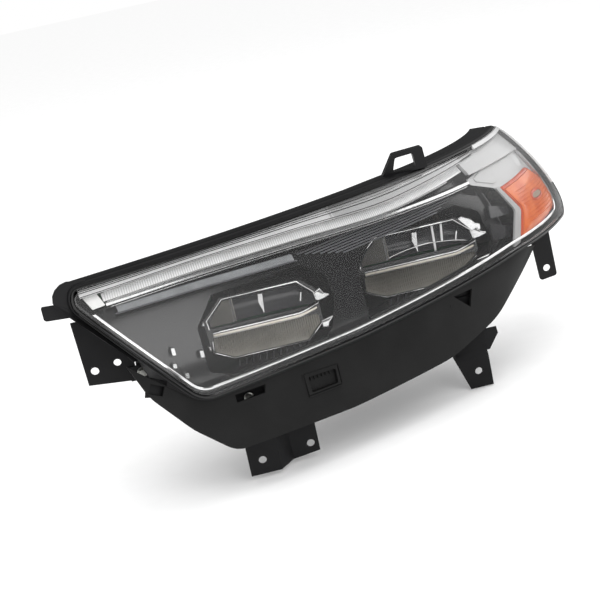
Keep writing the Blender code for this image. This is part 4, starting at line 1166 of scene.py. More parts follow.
@dataclass
class Bezel:
    """Gloss black mask inside the cover, with its bright line, ribs and facets."""

    outline: Outline = field(default_factory=lambda: Outline((
        (0.112, -0.055, 0.040),
        (0.330, -0.047, 0.600),
        (0.628, -0.0275, 0.014),
        (0.628, 0.108, 0.014),
        (-0.013, 0.100, 0.017),
    ), (0, 2, 3, 4)))
    edge: float = 7.9 * MM
    foot: float = 12.0 * MM
    front: float = 8.0 * MM
    depth: float = 27.6 * MM
    thick: float = 2.0 * MM
    rib_count: int = 7
    rib_pitch: float = 2.8 * MM
    rib_top: float = 0.0635
    line_top: float = 0.0705
    reach_front: float = 0.120
    reach_back: float = 0.075

    def wall_loop(self, extra: float) -> Loop:
        """Edge of the tapered wall: near the lens, except behind the turn lamp."""
        points = []
        for a, b in zip(self.outline.loop(self.edge + extra), self.outline.loop(self.foot + extra)):
            share = 0.75 * smooth((a[0] - 0.540) / 0.045)
            s, z = a[0] + (b[0] - a[0]) * share, a[1] + (b[1] - a[1]) * share
            points.append(SWEEP.point(s, z, self.front + (self.depth - self.front) * share))
        return points

    def opening(self, centre: Vector, wide: float, high: float) -> Shape:
        """The hole that a module looks out of."""
        corners = (
            (-77, 22, 6), (-75, -29, 8), (-46, -40.5, 8), (62, -40.5, 8), (78, -27, 10),
            (88, 2, 12), (84, 34, 12), (56, 50, 10), (-53, 50, 8),
        )
        points = rounded([
            (centre.x + x * wide * MM, centre.z + z * high * MM, r * MM) for x, z, r in corners
        ])
        return prism(points, Plane.FRONT, centre.y - self.reach_front, centre.y + self.reach_back)

    def mask(self) -> None:
        """The mask itself."""
        shape = sheet(
            lamp_grid(self.outline, self.foot + self.thick, self.depth),
            lamp_grid(self.outline, self.foot, self.depth + self.thick),
            (self.wall_loop(self.thick), self.wall_loop(0.0)),
        )
        cuts = [(Joinery.CUT, self.opening(m.centre, m.wide, m.high)) for m in MODULES]
        place_piece("mask", worked(mesh_of(shape, "mask"), cuts), MASK_BLACK, "root", ("bezel",), 0.5)

    def bright_line(self) -> None:
        """Chrome line inside the cover's edge: down the inboard end, along the foot and up again."""
        section = ((10.0, 9.6), (10.6, 8.6), (12.4, 8.4), (13.4, 9.4), (13.0, 11.5), (10.4, 11.5))
        loops = [lamp_loop(RIM, inset * MM, depth * MM) for inset, depth in section]
        outer = loops[0]
        count = len(outer)
        inboard = 0.1
        start = next(
            i for i in range(count // 2, count) if outer[i].z < self.line_top and outer[i].x < inboard
        )
        stop = next(i for i in range(count // 4, count) if outer[i].z > self.line_top)
        stations = [*range(start, count), *range(stop)]
        shape = loft([[line[i] for line in loops] for i in stations])
        add_piece("bright_line", shape, BRIGHT_CHROME, "root", ("trim_line",))

    def ribs(self) -> None:
        """Ribs under the running light, ending before the turn lamp."""
        for k in range(self.rib_count):
            drop = self.rib_top - self.rib_pitch * k
            line = path(((0.29, drop - 0.005), (0.36, drop - 0.002), (0.43, drop), (0.58, drop + 0.003)))
            start, stop = 0.296 + 0.010 * k, 0.592 - 0.012 * k
            stations = [start + (stop - start) * i / 40 for i in range(41)]
            loops = []
            for s in stations:
                z = line(s)
                section = ((-1.1, 0.5), (-0.2, -1.6), (0.5, -1.6), (0.8, 0.5))
                loops.append([SWEEP.point(s, z + a * MM, self.depth + d * MM) for a, d in section])
            add_piece("mask_rib_%d" % (k + 1), loft(loops), RIB_GREY)

    def tabs(self) -> None:
        """Small bright catches near the bend of the chrome line."""
        shapes = []
        places = (
            (0.1020, 0.0020, 7.0), (0.0985, -0.0115, 4.0), (0.1090, -0.0262, 5.0), (0.1333, -0.0097, 6.5),
        )
        for s, z, high in places:
            corners = (
                (s - 0.0025, z), (s + 0.0020, z - 0.0010),
                (s + 0.0026, z + high * MM), (s - 0.0018, z + (high + 1) * MM),
            )
            shapes.append(SWEEP.prism(rounded([(a, b, 0.4 * MM) for a, b in corners], 3), 19 * MM, 27 * MM))
        add_piece("mask_catches", together(shapes), TRAY_CHROME, bevel_mm=0.3)

    def facets(self) -> None:
        """Raised panels between the outboard module and the turn lamp."""
        panels = (
            ((0.5995, 0.0180), (0.6441, 0.0117), (0.6480, 0.0225), (0.6097, 0.0322)),
            ((0.5850, -0.0073), (0.6311, -0.0150), (0.6350, -0.0023), (0.5930, 0.0125)),
        )
        for k, corners in enumerate(panels):
            points = rounded([(s, z, 1.5 * MM) for s, z in corners], 4)
            shape = SWEEP.prism(points, 21.5 * MM, 25.0 * MM)
            add_piece("mask_panel_%d" % (k + 1), shape, MASK_GREY, bevel_mm=0.6)

    def build(self) -> None:
        """The mask and everything moulded on it."""
        self.mask()
        self.bright_line()
        self.ribs()
        self.tabs()
        self.facets()


# -------------------------------------------------------- running light

@dataclass
class RunningLight:
    """Daytime running light: ticked guides, chrome edges, tray and end block."""

    tick_pitch: float = 3.0 * MM
    tick_width: float = 1.0 * MM
    tick_slant: float = 1.4 * MM
    guide: Callable[[float], float] = path((
        (0.045, 0.0797), (0.158, 0.0824), (0.300, 0.0806), (0.450, 0.0765), (0.515, 0.0800), (0.600, 0.0855),
    ))
    strip: Callable[[float], float] = path((
        (0.045, 0.0722), (0.160, 0.0741), (0.300, 0.0724), (0.450, 0.0682), (0.540, 0.0672), (0.632, 0.0675),
    ))
    second: Callable[[float], float] = path((
        (0.055, 0.0640), (0.160, 0.0630), (0.240, 0.0605), (0.310, 0.0585),
    ))

    def ticks(self, name: str, centre: Callable[[float], float], span: Pair, half: float,
              depth: float, finish: Finish) -> None:
        """Fine cross ribs on the face of a guide.

        Args:
            name: The piece's name.
            centre: Its height along the sweep.
            span: Where the ribs start and stop.
            half: Half their height.
            depth: Depth of the guide's face.
            finish: Their finish.
        """
        bars = []
        for k in range(round((span[1] - span[0]) / self.tick_pitch)):
            s = span[0] + k * self.tick_pitch
            reach = half * (1 - 0.5 * smooth((s - 0.45) / 0.16))
            low, high = centre(s) - reach, centre(s) + reach
            corners = (
                (s, low), (s + self.tick_width, low),
                (s + self.tick_width + self.tick_slant, high), (s + self.tick_slant, high),
            )
            bars.append(SWEEP.prism(corners, depth - 0.6 * MM, depth + MM))
        add_piece(name, together(bars), finish)

    def band(self, name: str, low: Callable[[float], float], high: Callable[[float], float], span: Pair,
             depth: float, thick: float, finish: Finish, stands_for: Sequence[str] = ()) -> None:
        """A smooth strip along the sweep.

        Args:
            name: The piece's name.
            low: Its lower edge along the sweep.
            high: Its upper edge along the sweep.
            span: Where it starts and stops.
            depth: Depth of its face, in mm.
            thick: Its thickness, in mm.
            finish: Its finish.
            stands_for: The frame's nodes that it replaces.
        """
        count = max(4, round((span[1] - span[0]) / 0.006))
        loops = []
        for k in range(count + 1):
            s = span[0] + (span[1] - span[0]) * k / count
            foot, top = low(s), high(s)
            soft = min(0.25 * (top - foot), 0.4 * MM)
            section = (
                (foot, (depth + thick) * MM), (foot, depth * MM + soft), (foot + soft, depth * MM),
                (top - soft, depth * MM), (top, depth * MM + soft), (top, (depth + thick) * MM),
            )
            loops.append([SWEEP.point(s, z, d) for z, d in section])
        add_piece(name, loft(loops), finish, "root", stands_for)

    def line(self, name: str, middle: Callable[[float], float], span: Pair, half: float,
             depth: float, finish: Finish) -> None:
        """A thin strip on either side of a height. The arguments are those of band."""
        self.band(name, raised(middle, -half), raised(middle, half), span, depth, 3.0, finish)

    def tray(self) -> None:
        """Strip between the guide and the cover's upper edge, with its fine lines."""
        low, high = raised(self.guide, 7.0), raised(top_edge, -2.6)
        self.band("tray_inboard", low, high, (0.020, 0.360), 6.0, 6, TRAY_GREY_AND_TICK_SHADE)
        self.band("tray_outboard", low, high, (0.355, 0.605), 6.0, 6, SILVER)
        self.band("tray_end", raised(self.strip, 9.0), high, (0.600, 0.785), 7.0, 6, SILVER)
        # Black strips painted as the shade inside the tray's grooves. They stand 0.4 mm proud of the tray
        # instead of being cut into it.
        for k, (share, half) in enumerate(((0.10, 0.30), (0.42, 0.35), (0.70, 0.35))):
            middle = between(low, high, share)
            self.line("tray_groove_shade_%d" % (k + 1), middle, (0.020, 0.640), half, 5.6, RIM_BLACK_AND_PAINTED_SHADE)
        self.line("tray_edge", between(low, high, 0.93), (0.020, 0.780), 0.45, 5.2, BRIGHT_CHROME)
        self.line("tray_ridge", between(low, high, 0.55), (0.020, 0.640), 0.40, 5.4, BRIGHT_CHROME)

    def build(self) -> None:
        """Every strip from the cover's top edge down to the mask."""
        whole = (0.046, 0.600)
        self.band(
            "running_guide", raised(self.guide, -4.3), raised(self.guide, 4.3), whole, 15.0, 5,
            GUIDE_OPTIC, ("drl_light_guide",),
        )
        # The ticks are ribs of the guide's own pale acrylic; drawing them in the tray's darker grey paints
        # in the shade between them.
        self.ticks("guide_ticks", self.guide, (0.048, 0.596), 3.9 * MM, 15 * MM, TRAY_GREY_AND_TICK_SHADE)
        self.band(
            "lower_guide", raised(self.second, -3.4), raised(self.second, 3.4), (0.058, 0.286),
            19.0, 4, FAINT_OPTIC, ("drl_lower_guide",),
        )
        self.ticks("lower_ticks", self.second, (0.060, 0.283), 2.6 * MM, 19 * MM, FAINT_OPTIC)
        lines = (
            ("guide_top_line", 4.6, 5.6, (0.050, 0.612), 13.5, BRIGHT_CHROME),
            ("guide_foot_line", -5.6, -4.7, (0.050, 0.560), 14.5, TRAY_CHROME),
            ("shadow_line", 5.9, 6.8, (0.040, 0.612), 13.0, RIM_BLACK_AND_PAINTED_SHADE),
        )
        for name, low, high, span, depth, finish in lines:
            self.band(name, raised(self.guide, low), raised(self.guide, high), span, depth, 4, finish)
        self.band(
            "strip", raised(self.strip, -1.4), raised(self.strip, 1.8), (0.047, 0.632), 14.0, 7,
            BRIGHT_CHROME, ("drl_reflector",),
        )
        self.line("strip_shadow", raised(self.strip, -2.2), (0.050, 0.600), 0.4, 16.0, RIM_BLACK_AND_PAINTED_SHADE)
        self.line("strip_line", raised(self.strip, -3.4), (0.052, 0.590), 0.5, 16.0, TRAY_CHROME)
        self.line("second_line", raised(self.second, -4.5), (0.055, 0.290), 0.4, 20.0, RIB_GREY)
        self.tray()
        block = rounded((
            (0.0220, 0.0880, 0.001), (0.0300, 0.0712, 0.001),
            (0.0462, 0.0722, 0.001), (0.0400, 0.0880, 0.001),
        ), 4)
        item = SWEEP.prism(block, 13 * MM, 20 * MM)
        add_piece("end_block", item, WHITE_PLASTIC, "root", ("drl_end_block",), 0.4)
        dress(("drl_led_board",), BOARD)


# ------------------------------------------------------------ turn lamp

@dataclass
class TurnLamp:
    """Silver plate, amber lens with its window, and the bright strip beside it."""

    plate: Outline = field(default_factory=lambda: Outline((
        (0.616, -0.0160, 0.004), (0.776, -0.0130, 0.026), (0.788, 0.094, 0.010),
        (0.582, 0.0690, 0.004), (0.636, 0.0495, 0.006), (0.652, 0.0180, 0.010),
    ), (0, 1, 2, 3), 40, 24))
    amber: Outline = field(default_factory=lambda: Outline((
        (0.626, -0.0185, 0.003), (0.772, -0.0100, 0.026), (0.785, 0.0260, 0.012),
        (0.757, 0.0500, 0.012), (0.645, 0.0470, 0.004), (0.660, 0.0150, 0.008),
    ), (0, 1, 2, 4), 40, 20))
    window: Pair = (0.717, 0.0195)

    def oval(self, grow: float) -> list[Pair]:
        """Outline of the side window."""
        points = []
        for k in range(40):
            angle = 2 * math.pi * k / 40
            reach = abs(math.cos(angle)) ** 0.7 * math.copysign(1, math.cos(angle))
            points.append((
                self.window[0] + (16.5 * MM + grow) * reach,
                self.window[1] + (3.6 * MM + grow) * math.sin(angle),
            ))
        return points

    def lens(self) -> None:
        """Amber lens: a crowned face with a deeper-coloured border and fine prisms."""
        def crowned(inset: float, depth: float, crown: float) -> list[Loop]:
            """Rows of points inside the outline, lifted towards the middle."""
            rows = self.amber.patch(inset)
            result = []
            for j, row in enumerate(rows):
                v = j / (len(rows) - 1)
                line = []
                for i, (s, z) in enumerate(row):
                    u = i / (len(row) - 1)
                    lift = crown * min(1.0, 6 * u * (1 - u)) * min(1.0, 6 * v * (1 - v))
                    line.append(SWEEP.point(s, z, depth - lift))
                result.append(line)
            return result
        shape = sheet(
            crowned(3.2 * MM, 9.6 * MM, 1.2 * MM), crowned(5.2 * MM, 12.0 * MM, 1.2 * MM),
            (lamp_loop(self.amber, 3.2 * MM, 17 * MM), lamp_loop(self.amber, 5.2 * MM, 17 * MM)),
        )
        add_piece("amber_face", shape, AMBER_OPTIC, "root", ("amber_lens",))
        border = ((0.0, 11.5), (0.6, 10.6), (2.6, 10.2), (3.1, 11.0), (3.1, 18.0), (0.0, 18.0))
        add_piece("amber_border", ring(self.amber, border), AMBER_DEEP)
        prisms = []
        for k in range(10):
            z = -0.004 + 4.4 * MM * k
            start = 0.668 if z > 0.018 else 0.640 + 1.1 * (z + 0.0185)
            line = [start + 0.008 * i for i in range(13) if start + 0.008 * i < 0.772 - 0.010 * (z > 0.03)]
            prisms.append(SWEEP.bar(line, lambda s, z=z: [
                (z - 0.6 * MM, 9.5 * MM), (z, 7.6 * MM), (z + 0.6 * MM, 9.5 * MM),
            ]))
        add_piece("amber_prisms", together(prisms), AMBER_OPTIC)

    def marker(self) -> None:
        """The reflex window and the raised frame round it."""
        outer, inner = self.oval(3.0 * MM), self.oval(0.4 * MM)
        loops = []
        for line, depth in ((outer, 10.0), (outer, 7.4), (inner, 7.0), (inner, 10.0)):
            loops.append([SWEEP.point(s, z, depth * MM) for s, z in line])
        add_piece("window_frame", loft(loops, closed=True), AMBER_DEEP)
        shape = SWEEP.prism(self.oval(0.0), 7.3 * MM, 10.0 * MM)
        add_piece("window", shape, GREY_PLASTIC, "root", ("side_marker_window",), 0.4)

    def surround(self) -> None:
        """Silver plate behind the lens, its raised edge, and the bright strip inboard of it."""
        add_piece("silver_plate", sheet(
            lamp_grid(self.plate, 0.0, 14.0 * MM), lamp_grid(self.plate, 0.0, 16.0 * MM),
        ), SILVER, "root", ("turn_bezel",))
        upper = rounded((
            (0.600, 0.0680, 0.003), (0.640, 0.0545, 0.004), (0.752, 0.0535, 0.006), (0.776, 0.0700, 0.008),
            (0.740, 0.0800, 0.008), (0.660, 0.0790, 0.006),
        ), 5)
        add_piece("silver_panel", SWEEP.prism(upper, 12.6 * MM, 14.5 * MM), SILVER, bevel_mm=0.8)
        strip = rounded((
            (0.606, -0.0235, 0.001), (0.6235, -0.0215, 0.001),
            (0.6585, 0.0145, 0.006), (0.6435, 0.0490, 0.001),
            (0.6350, 0.0490, 0.001), (0.6450, 0.0165, 0.006),
        ), 4)
        add_piece("bright_strip", SWEEP.prism(strip, 10.5 * MM, 14 * MM), SILVER, bevel_mm=0.6)
        end = (
            (0.786, -0.006), (0.792, 0.030), (0.794, 0.070), (0.786, 0.092), (0.780, 0.092), (0.786, 0.066),
            (0.783, 0.030), (0.777, -0.004),
        )
        add_piece("outboard_strip", SWEEP.prism(end, 9 * MM, 16 * MM), TRAY_CHROME, bevel_mm=0.6)

    def build(self) -> None:
        """The lamp and its bulb."""
        self.surround()
        self.lens()
        self.marker()
        dress(("turn_bulb",), BULB_GLASS)
        refined("turn_bulb_holder", 0.6, BLACK_PLASTIC, "turn_holder")


# -------------------------------------------------------------- modules

@dataclass
class LightModule:
    """One LED module: hood, two reflectors, light blade, chrome ends, board and heat sink."""

    name: str
    centre: Vector
    wide: float
    high: float
    chamfer: Pair
    flute_pitch: float = 2.7
    flute_height: float = 0.5
    depth: float = 38.0

    def place(self) -> Matrix:
        """From the module's own axes, in mm, to the lamp's."""
        return Matrix.Translation(self.centre) @ Matrix.Scale(MM, 4)

    def add(self, node: str, shape: Shape, finish: Finish, stands_for: Sequence[str] = (),
            bevel_mm: float = 0.0) -> None:
        """Adds one piece given in the module's own axes."""
        names = ["%s_module_%s" % (self.name, part) for part in stands_for]
        add_piece("%s_%s" % (self.name, node), shape.moved(self.place()), finish, "carrier", names, bevel_mm)

    def scaled(self, points: Iterable[Pair]) -> list[Pair]:
        """Points of the smaller module, stretched to this one."""
        return [(x * self.wide, z * self.high) for x, z in points]

    def outer(self, grow: float = 0.0) -> list[Pair]:
        """Outline of the hood."""
        cx, cz = self.chamfer
        corners = (
            (-67, -24), (-44, -34.9), (68 - cx, -34.9), (69, -33.5 + cz),
            (67, 26), (49, 41), (-45, 41), (-69, 17),
        )
        return self.grown(corners, grow, 2.0)

    def grown(self, corners: Sequence[Pair], grow: float, radius: float) -> list[Pair]:
        """Rounded outline of scaled corners, grown or shrunk."""
        metres = [(x * MM, z * MM, radius * MM) for x, z in self.scaled(corners)]
        moved = offset_corners(metres, -grow * MM)
        return [(x / MM, z / MM) for x, z in rounded([(a, b, radius * MM) for a, b, _ in moved], 4)]

    def upper(self, grow: float = 0.0) -> list[Pair]:
        """Outline of the upper lobe."""
        corners = ((-63, 7), (60, 7), (64, 12), (62, 23), (46, 38), (-42, 38), (-64, 17))
        return self.grown(corners, grow, 1.5)

    def lower(self, grow: float = 0.0) -> list[Pair]:
        """Outline of the lower lobe."""
        cx, cz = self.chamfer
        corners = (
            (-62, -5), (-63, -22), (-42, -33.0), (66 - cx, -33.0), (65, min(cz - 33.0, -8.0)), (64, -5),
        )
        return self.grown(corners, grow, 1.5)

    def ribbon(self, points: Sequence[Pair], width: float, near: float, far: float) -> Shape:
        """A flat bar along an open line in the front plane."""
        line = [Vector(p) for p in self.scaled(points)]
        loops = []
        for i, here in enumerate(line):
            before = (here - line[i - 1]).normalized() if i else (line[1] - here).normalized()
            after = (line[i + 1] - here).normalized() if i + 1 < len(line) else before
            tangent = (before + after).normalized()
            side = Vector((-tangent.y, tangent.x)) * width / 2 / max(0.5, tangent.dot(after))
            one, two = here + side, here - side
            inner = [one.lerp(two, share) for share in (0.3, 0.7)]
            loops.append([
                Vector((one.x, far, one.y)), Vector((one.x, near + 0.3, one.y)),
                *(Vector((p.x, near, p.y)) for p in inner),
                Vector((two.x, near + 0.3, two.y)), Vector((two.x, far, two.y)),
            ])
        return loft(loops)

    def hood(self) -> None:
        """Black shell with an opening for each lobe."""
        outer, inner = self.outer(), self.outer(-2.0)
        loops = []
        for line, y in ((outer, 0.0), (outer, self.depth), (inner, self.depth), (inner, 3.0)):
            loops.append([Vector((x, y, z)) for x, z in line])
        cuts = prism(self.upper(0.4), Plane.FRONT, -5, 8) + prism(self.lower(0.4), Plane.FRONT, -5, 8)
        mesh = worked(mesh_of(loft(loops).moved(self.place()), "hood"), (
            (Joinery.CUT, cuts.moved(self.place())),
        ))
        node = "%s_module_hood" % self.name
        place_piece("%s_hood" % self.name, mesh, MASK_BLACK, "carrier", (node,), 0.4)

    def bowl(self, lobe: list[Pair], floor: float, lean: float, flutes: bool) -> Shape:
        """A reflector shell behind a lobe, deepest across its middle.

        Args:
            lobe: Outline of its mouth.
            floor: Depth of its deepest part.
            lean: Height that the deepest line is moved to.
            flutes: Whether fine upright flutes run over it.

        Returns:
            The shell, open to the front.
        """
        xs = [p[0] for p in lobe]
        low_x, high_x = min(xs), max(xs)
        columns = round((high_x - low_x) / (self.flute_pitch / 4)) if flutes else 60
        rows = 14
        front, back = [], []
        for j in range(rows + 1):
            v = j / rows
            near, far = [], []
            for i in range(columns + 1):
                x = low_x + (high_x - low_x) * i / columns
                bottom, top = self.span(lobe, x)
                z = bottom + (top - bottom) * v
                across = abs(2 * i / columns - 1)
                shape = (1 - across ** 6) * (1 - abs(2 * v - 1 - lean) ** 2.6 / (1 + abs(lean)) ** 2.6)
                y = 0.4 + floor * max(0.0, shape)
                if flutes:
                    wave = math.sin(2 * math.pi * (x - low_x) / self.flute_pitch)
                    y += self.flute_height * wave * min(1.0, 8 * v * (1 - v))
                near.append(Vector((x, y, z)))
                far.append(Vector((x, y + 1.2, z)))
            front.append(near)
            back.append(far)
        return sheet(front, back)

    def span(self, lobe: list[Pair], x: float) -> Pair:
        """Lowest and highest point of an outline at x."""
        hits = []
        for a, b in zip(lobe, lobe[1:] + lobe[:1]):
            if min(a[0], b[0]) - 1e-9 <= x <= max(a[0], b[0]) + 1e-9 and abs(a[0] - b[0]) > 1e-9:
                hits.append(a[1] + (b[1] - a[1]) * (x - a[0]) / (b[0] - a[0]))
            elif abs(a[0] - b[0]) <= 1e-9 and abs(a[0] - x) <= 1e-6:
                hits += [a[1], b[1]]
        low, high = min(hits), max(hits)
        return (low, high) if high - low > 0.4 else (low - 0.2, high + 0.2)

    def reflectors(self) -> None:
        """Smooth upper and fluted lower reflector, with what stands in them."""
        upper = self.bowl(self.upper(), 22.0, -0.15, False)
        lower = self.bowl(self.lower(), 9.0, 0.35, True)
        self.add("upper_bowl", upper, SMOKE_CHROME, ("upper_reflector",))
        self.add("lower_bowl", lower, FLUTE_CHROME, ("lower_reflector",))
        hatch = []
        for k in range(30):
            shift = -1 + 1.55 * k
            start, stop = (-64 + shift * 0.9, 8.0), (-64 + shift * 0.9 + 20, 36.0)
            points = self.clipped(start, stop, -62.5, -33.0)
            if points:
                hatch.append(self.ribbon(points, 0.55, 1.0, 4.0))
        self.add("hatch", together(hatch), FLUTE_CHROME)
        plate = [(-62.5, 8.2), (-31.0, 8.2), (-31.0, 36.6), (-41.8, 36.6), (-62.5, 17.2)]
        self.add("hatch_plate", prism(self.scaled(plate), Plane.FRONT, 2.6, 4.2), SMOKE_CHROME, bevel_mm=0.3)
        self.add("facet_edge", self.ribbon(((-31.5, 36.8), (-31.0, 8.0)), 0.9, 1.6, 4.4), FLUTE_CHROME)

    def clipped(self, start: Pair, stop: Pair, left: float, right: float) -> list[Pair]:
        """A slanting hatch line, kept inside the upper lobe's inboard facet."""
        points = []
        for k in range(13):
            t = k / 12
            x, z = start[0] + (stop[0] - start[0]) * t, start[1] + (stop[1] - start[1]) * t
            ceiling = 36.8 if x > -42 else 17 + (x + 64) * 20.5 / 22 - 1.2
            if left < x < right and z < ceiling:
                points.append((x, z))
        return [points[0], points[-1]] if len(points) > 1 else []

    def outlines(self) -> None:
        """Thin chrome lines round the lobes."""
        cx, cz = self.chamfer
        upper = ((-64.5, 6.5), (-65.5, 17.5), (-42.6, 39.2), (46.6, 39.2), (63.4, 23.2), (65.4, 12.5))
        lower = (
            (-63.6, -8.0), (-64.6, -22.6), (-42.6, -34.2), (66.6 - cx, -34.2), (66.4, min(cz - 34.0, -9.0)),
        )
        self.add("upper_line", self.ribbon(upper, 1.4, -1.8, 1.0), BRIGHT_CHROME)
        self.add("lower_line", self.ribbon(lower, 1.3, -1.8, 1.0), BRIGHT_CHROME)

    def blade(self) -> None:
        """The light blade between the lobes: stacked ribs that lift at the outboard end."""
        def layer(
            z0: float, height: float, near: float, far: float, end_lift: float, stop: float,
        ) -> Shape:
            """One rib of the stack, bowed towards the front and lifted at its end."""
            loops = []
            for k in range(41):
                t = k / 40
                x = (-61 + (stop + 61) * t) * self.wide
                lift = end_lift * smooth((t - 0.80) / 0.26) * 1.2
                z = (z0 + lift) * self.high
                bow = 1.2 * (2 * t - 1) ** 2
                h = height * (1 - 0.4 * smooth((t - 0.85) / 0.15))
                loops.append([
                    Vector((x, near + bow + 0.4, z)), Vector((x, near + bow, z + 0.25 * h)),
                    Vector((x, near + bow, z + 0.75 * h)), Vector((x, near + bow + 0.4, z + h)),
                    Vector((x, far + bow, z + h)), Vector((x, far + bow, z)),
                ])
            return loft(loops)
        self.add("blade_body", layer(-2.2, 2.4, -5.6, -1.0, 5.0, 64), BLADE_OPTIC, ("light_blade",))
        self.add("blade_top", layer(1.2, 1.5, -5.2, -1.0, 7.0, 67), BRIGHT_CHROME)
        self.add("blade_groove", layer(0.3, 0.8, -4.4, -1.0, 6.0, 65), RIM_BLACK_AND_PAINTED_SHADE)
        self.add("blade_foot", layer(-3.4, 0.8, -5.0, -1.0, 4.4, 62), TRAY_CHROME)
        self.add("blade_shelf", prism(self.scaled(
            ((-64, -4.6), (66, -4.6), (68, 6.6), (-64, 6.6)),
        ), Plane.FRONT, -0.6, 2.0), MASK_BLACK)

    def inserts(self) -> None:
        """Chrome end blocks, clips and the shapes that stand in the upper reflector."""
        blocks = {
            "upper_block": ((
                (63.5, 21.2), (65.8, 10.4), (73, 11.2), (79.5, 13.0), (82, 15.0), (75.5, 18.0), (71.8, 25.0),
            ), -1.5),
            "lower_block": ((
                (65.5, -14.2), (66.2, -24.0), (73.8, -24.0), (75.0, -19.0), (81.5, -12.6), (80.5, -11.0),
            ), -1.5),
            "upper_clip": (((-74.5, 11.5), (-66.6, 10.8), (-66.8, 18.4), (-71.2, 18.4)), 0.0),
            "lower_clip": (((-71.4, -19.8), (-66.8, -22.6), (-65.6, -14.2), (-71.2, -13.2)), 0.0),
            "foot_clip": (((-82.0, -29.8), (-76.0, -29.6), (-75.6, -23.4), (-80.8, -19.6)), 1.0),
        }
        for node, (corners, near) in blocks.items():
            metres = [(x * MM, z * MM, 1.2 * MM) for x, z in self.scaled(corners)]
            loops = []
            for inset, y in ((0.0, near + 6), (0.0, near + 1.6), (0.8, near + 0.3), (1.3, near)):
                line = rounded([(x, z, 0.6 * MM) for x, z, _ in offset_corners(metres, inset * MM)], 3)
                loops.append([Vector((x / MM, y, z / MM)) for x, z in line])
            self.add(node, loft(loops), BRIGHT_CHROME if "block" in node else TRAY_CHROME)
        wedges = (
            ((0.0, 33.2), (-1.3, 23.8), (2.6, 9.0), (3.4, 9.0), (5.4, 32.5)),
            ((46.4, 12.6), (48.4, 12.8), (51.0, 23.6), (49.0, 23.0)),
        )
        for k, corners in enumerate(wedges):
            points = self.scaled(corners)
            self.add("wedge_%d" % (k + 1), prism(points, Plane.FRONT, 7.0, 10.0), TRAY_CHROME, bevel_mm=0.3)

    def teeth(self) -> None:
        """Slanting fins below the lower lobe."""
        fins = []
        for k in range(11):
            x = -38 + 8.2 * k
            points = self.scaled(((x, -36.4), (x - 1.6, -44.5), (x - 0.2, -44.5), (x + 1.6, -36.4)))
            fins.append(prism(points, Plane.FRONT, -1.0, 9.0))
        self.add("fins", together(fins), SMOKE_CHROME)

    def build(self) -> None:
        """The whole module."""
        self.hood()
        self.reflectors()
        self.outlines()
        self.blade()
        self.inserts()
        self.teeth()
        refined("%s_module_heat_sink" % self.name, 0.4, CAST_ALUMINIUM, "carrier")
        dress(("%s_module_led_board" % self.name,), BOARD)


@dataclass
class OutboardModule(LightModule):
    """The outboard module, whose upper reflector also holds a bright arc and clear streaks."""

    def inserts(self) -> None:
        """The common inserts, then the corner block, the arc and the streaks."""
        super().inserts()
        corners = (
            (52, 38.0), (56, 40.5), (67, 34.5), (71, 29.0), (76, 27.0), (76, 20.5), (68, 16.0), (63, 24.0),
        )
        block = prism(self.scaled(corners), Plane.FRONT, -0.8, 3.5)
        self.add("corner_block", block, BRIGHT_CHROME, bevel_mm=1.2)
        arc = ((-32, 9.6), (-20, 12.6), (-8, 14.8), (4, 16.1), (17, 16.5), (30, 15.3), (45, 13.2), (59, 9.6))
        self.add("arc", self.ribbon(arc, 1.3, 6.0, 9.0), BRIGHT_CHROME)
        for k, (top, foot) in enumerate((((23.5, 36.5), (23.0, 4.0)), ((34.0, 35.0), (32.0, 14.5)))):
            self.add("streak_%d" % (k + 1), self.ribbon((top, foot), 2.6, 7.0, 9.0), GUIDE_OPTIC)


MODULES = (
    LightModule("inboard", Vector((0.1875, 0.0345, -0.0025)), 1.00, 1.00, (19.0, 17.5)),
    OutboardModule("outboard", Vector((0.3993, 0.1570, -0.0060)), 1.14, 1.08, (33.0, 30.0)),
)


# ------------------------------------------------------------ skirt etc.

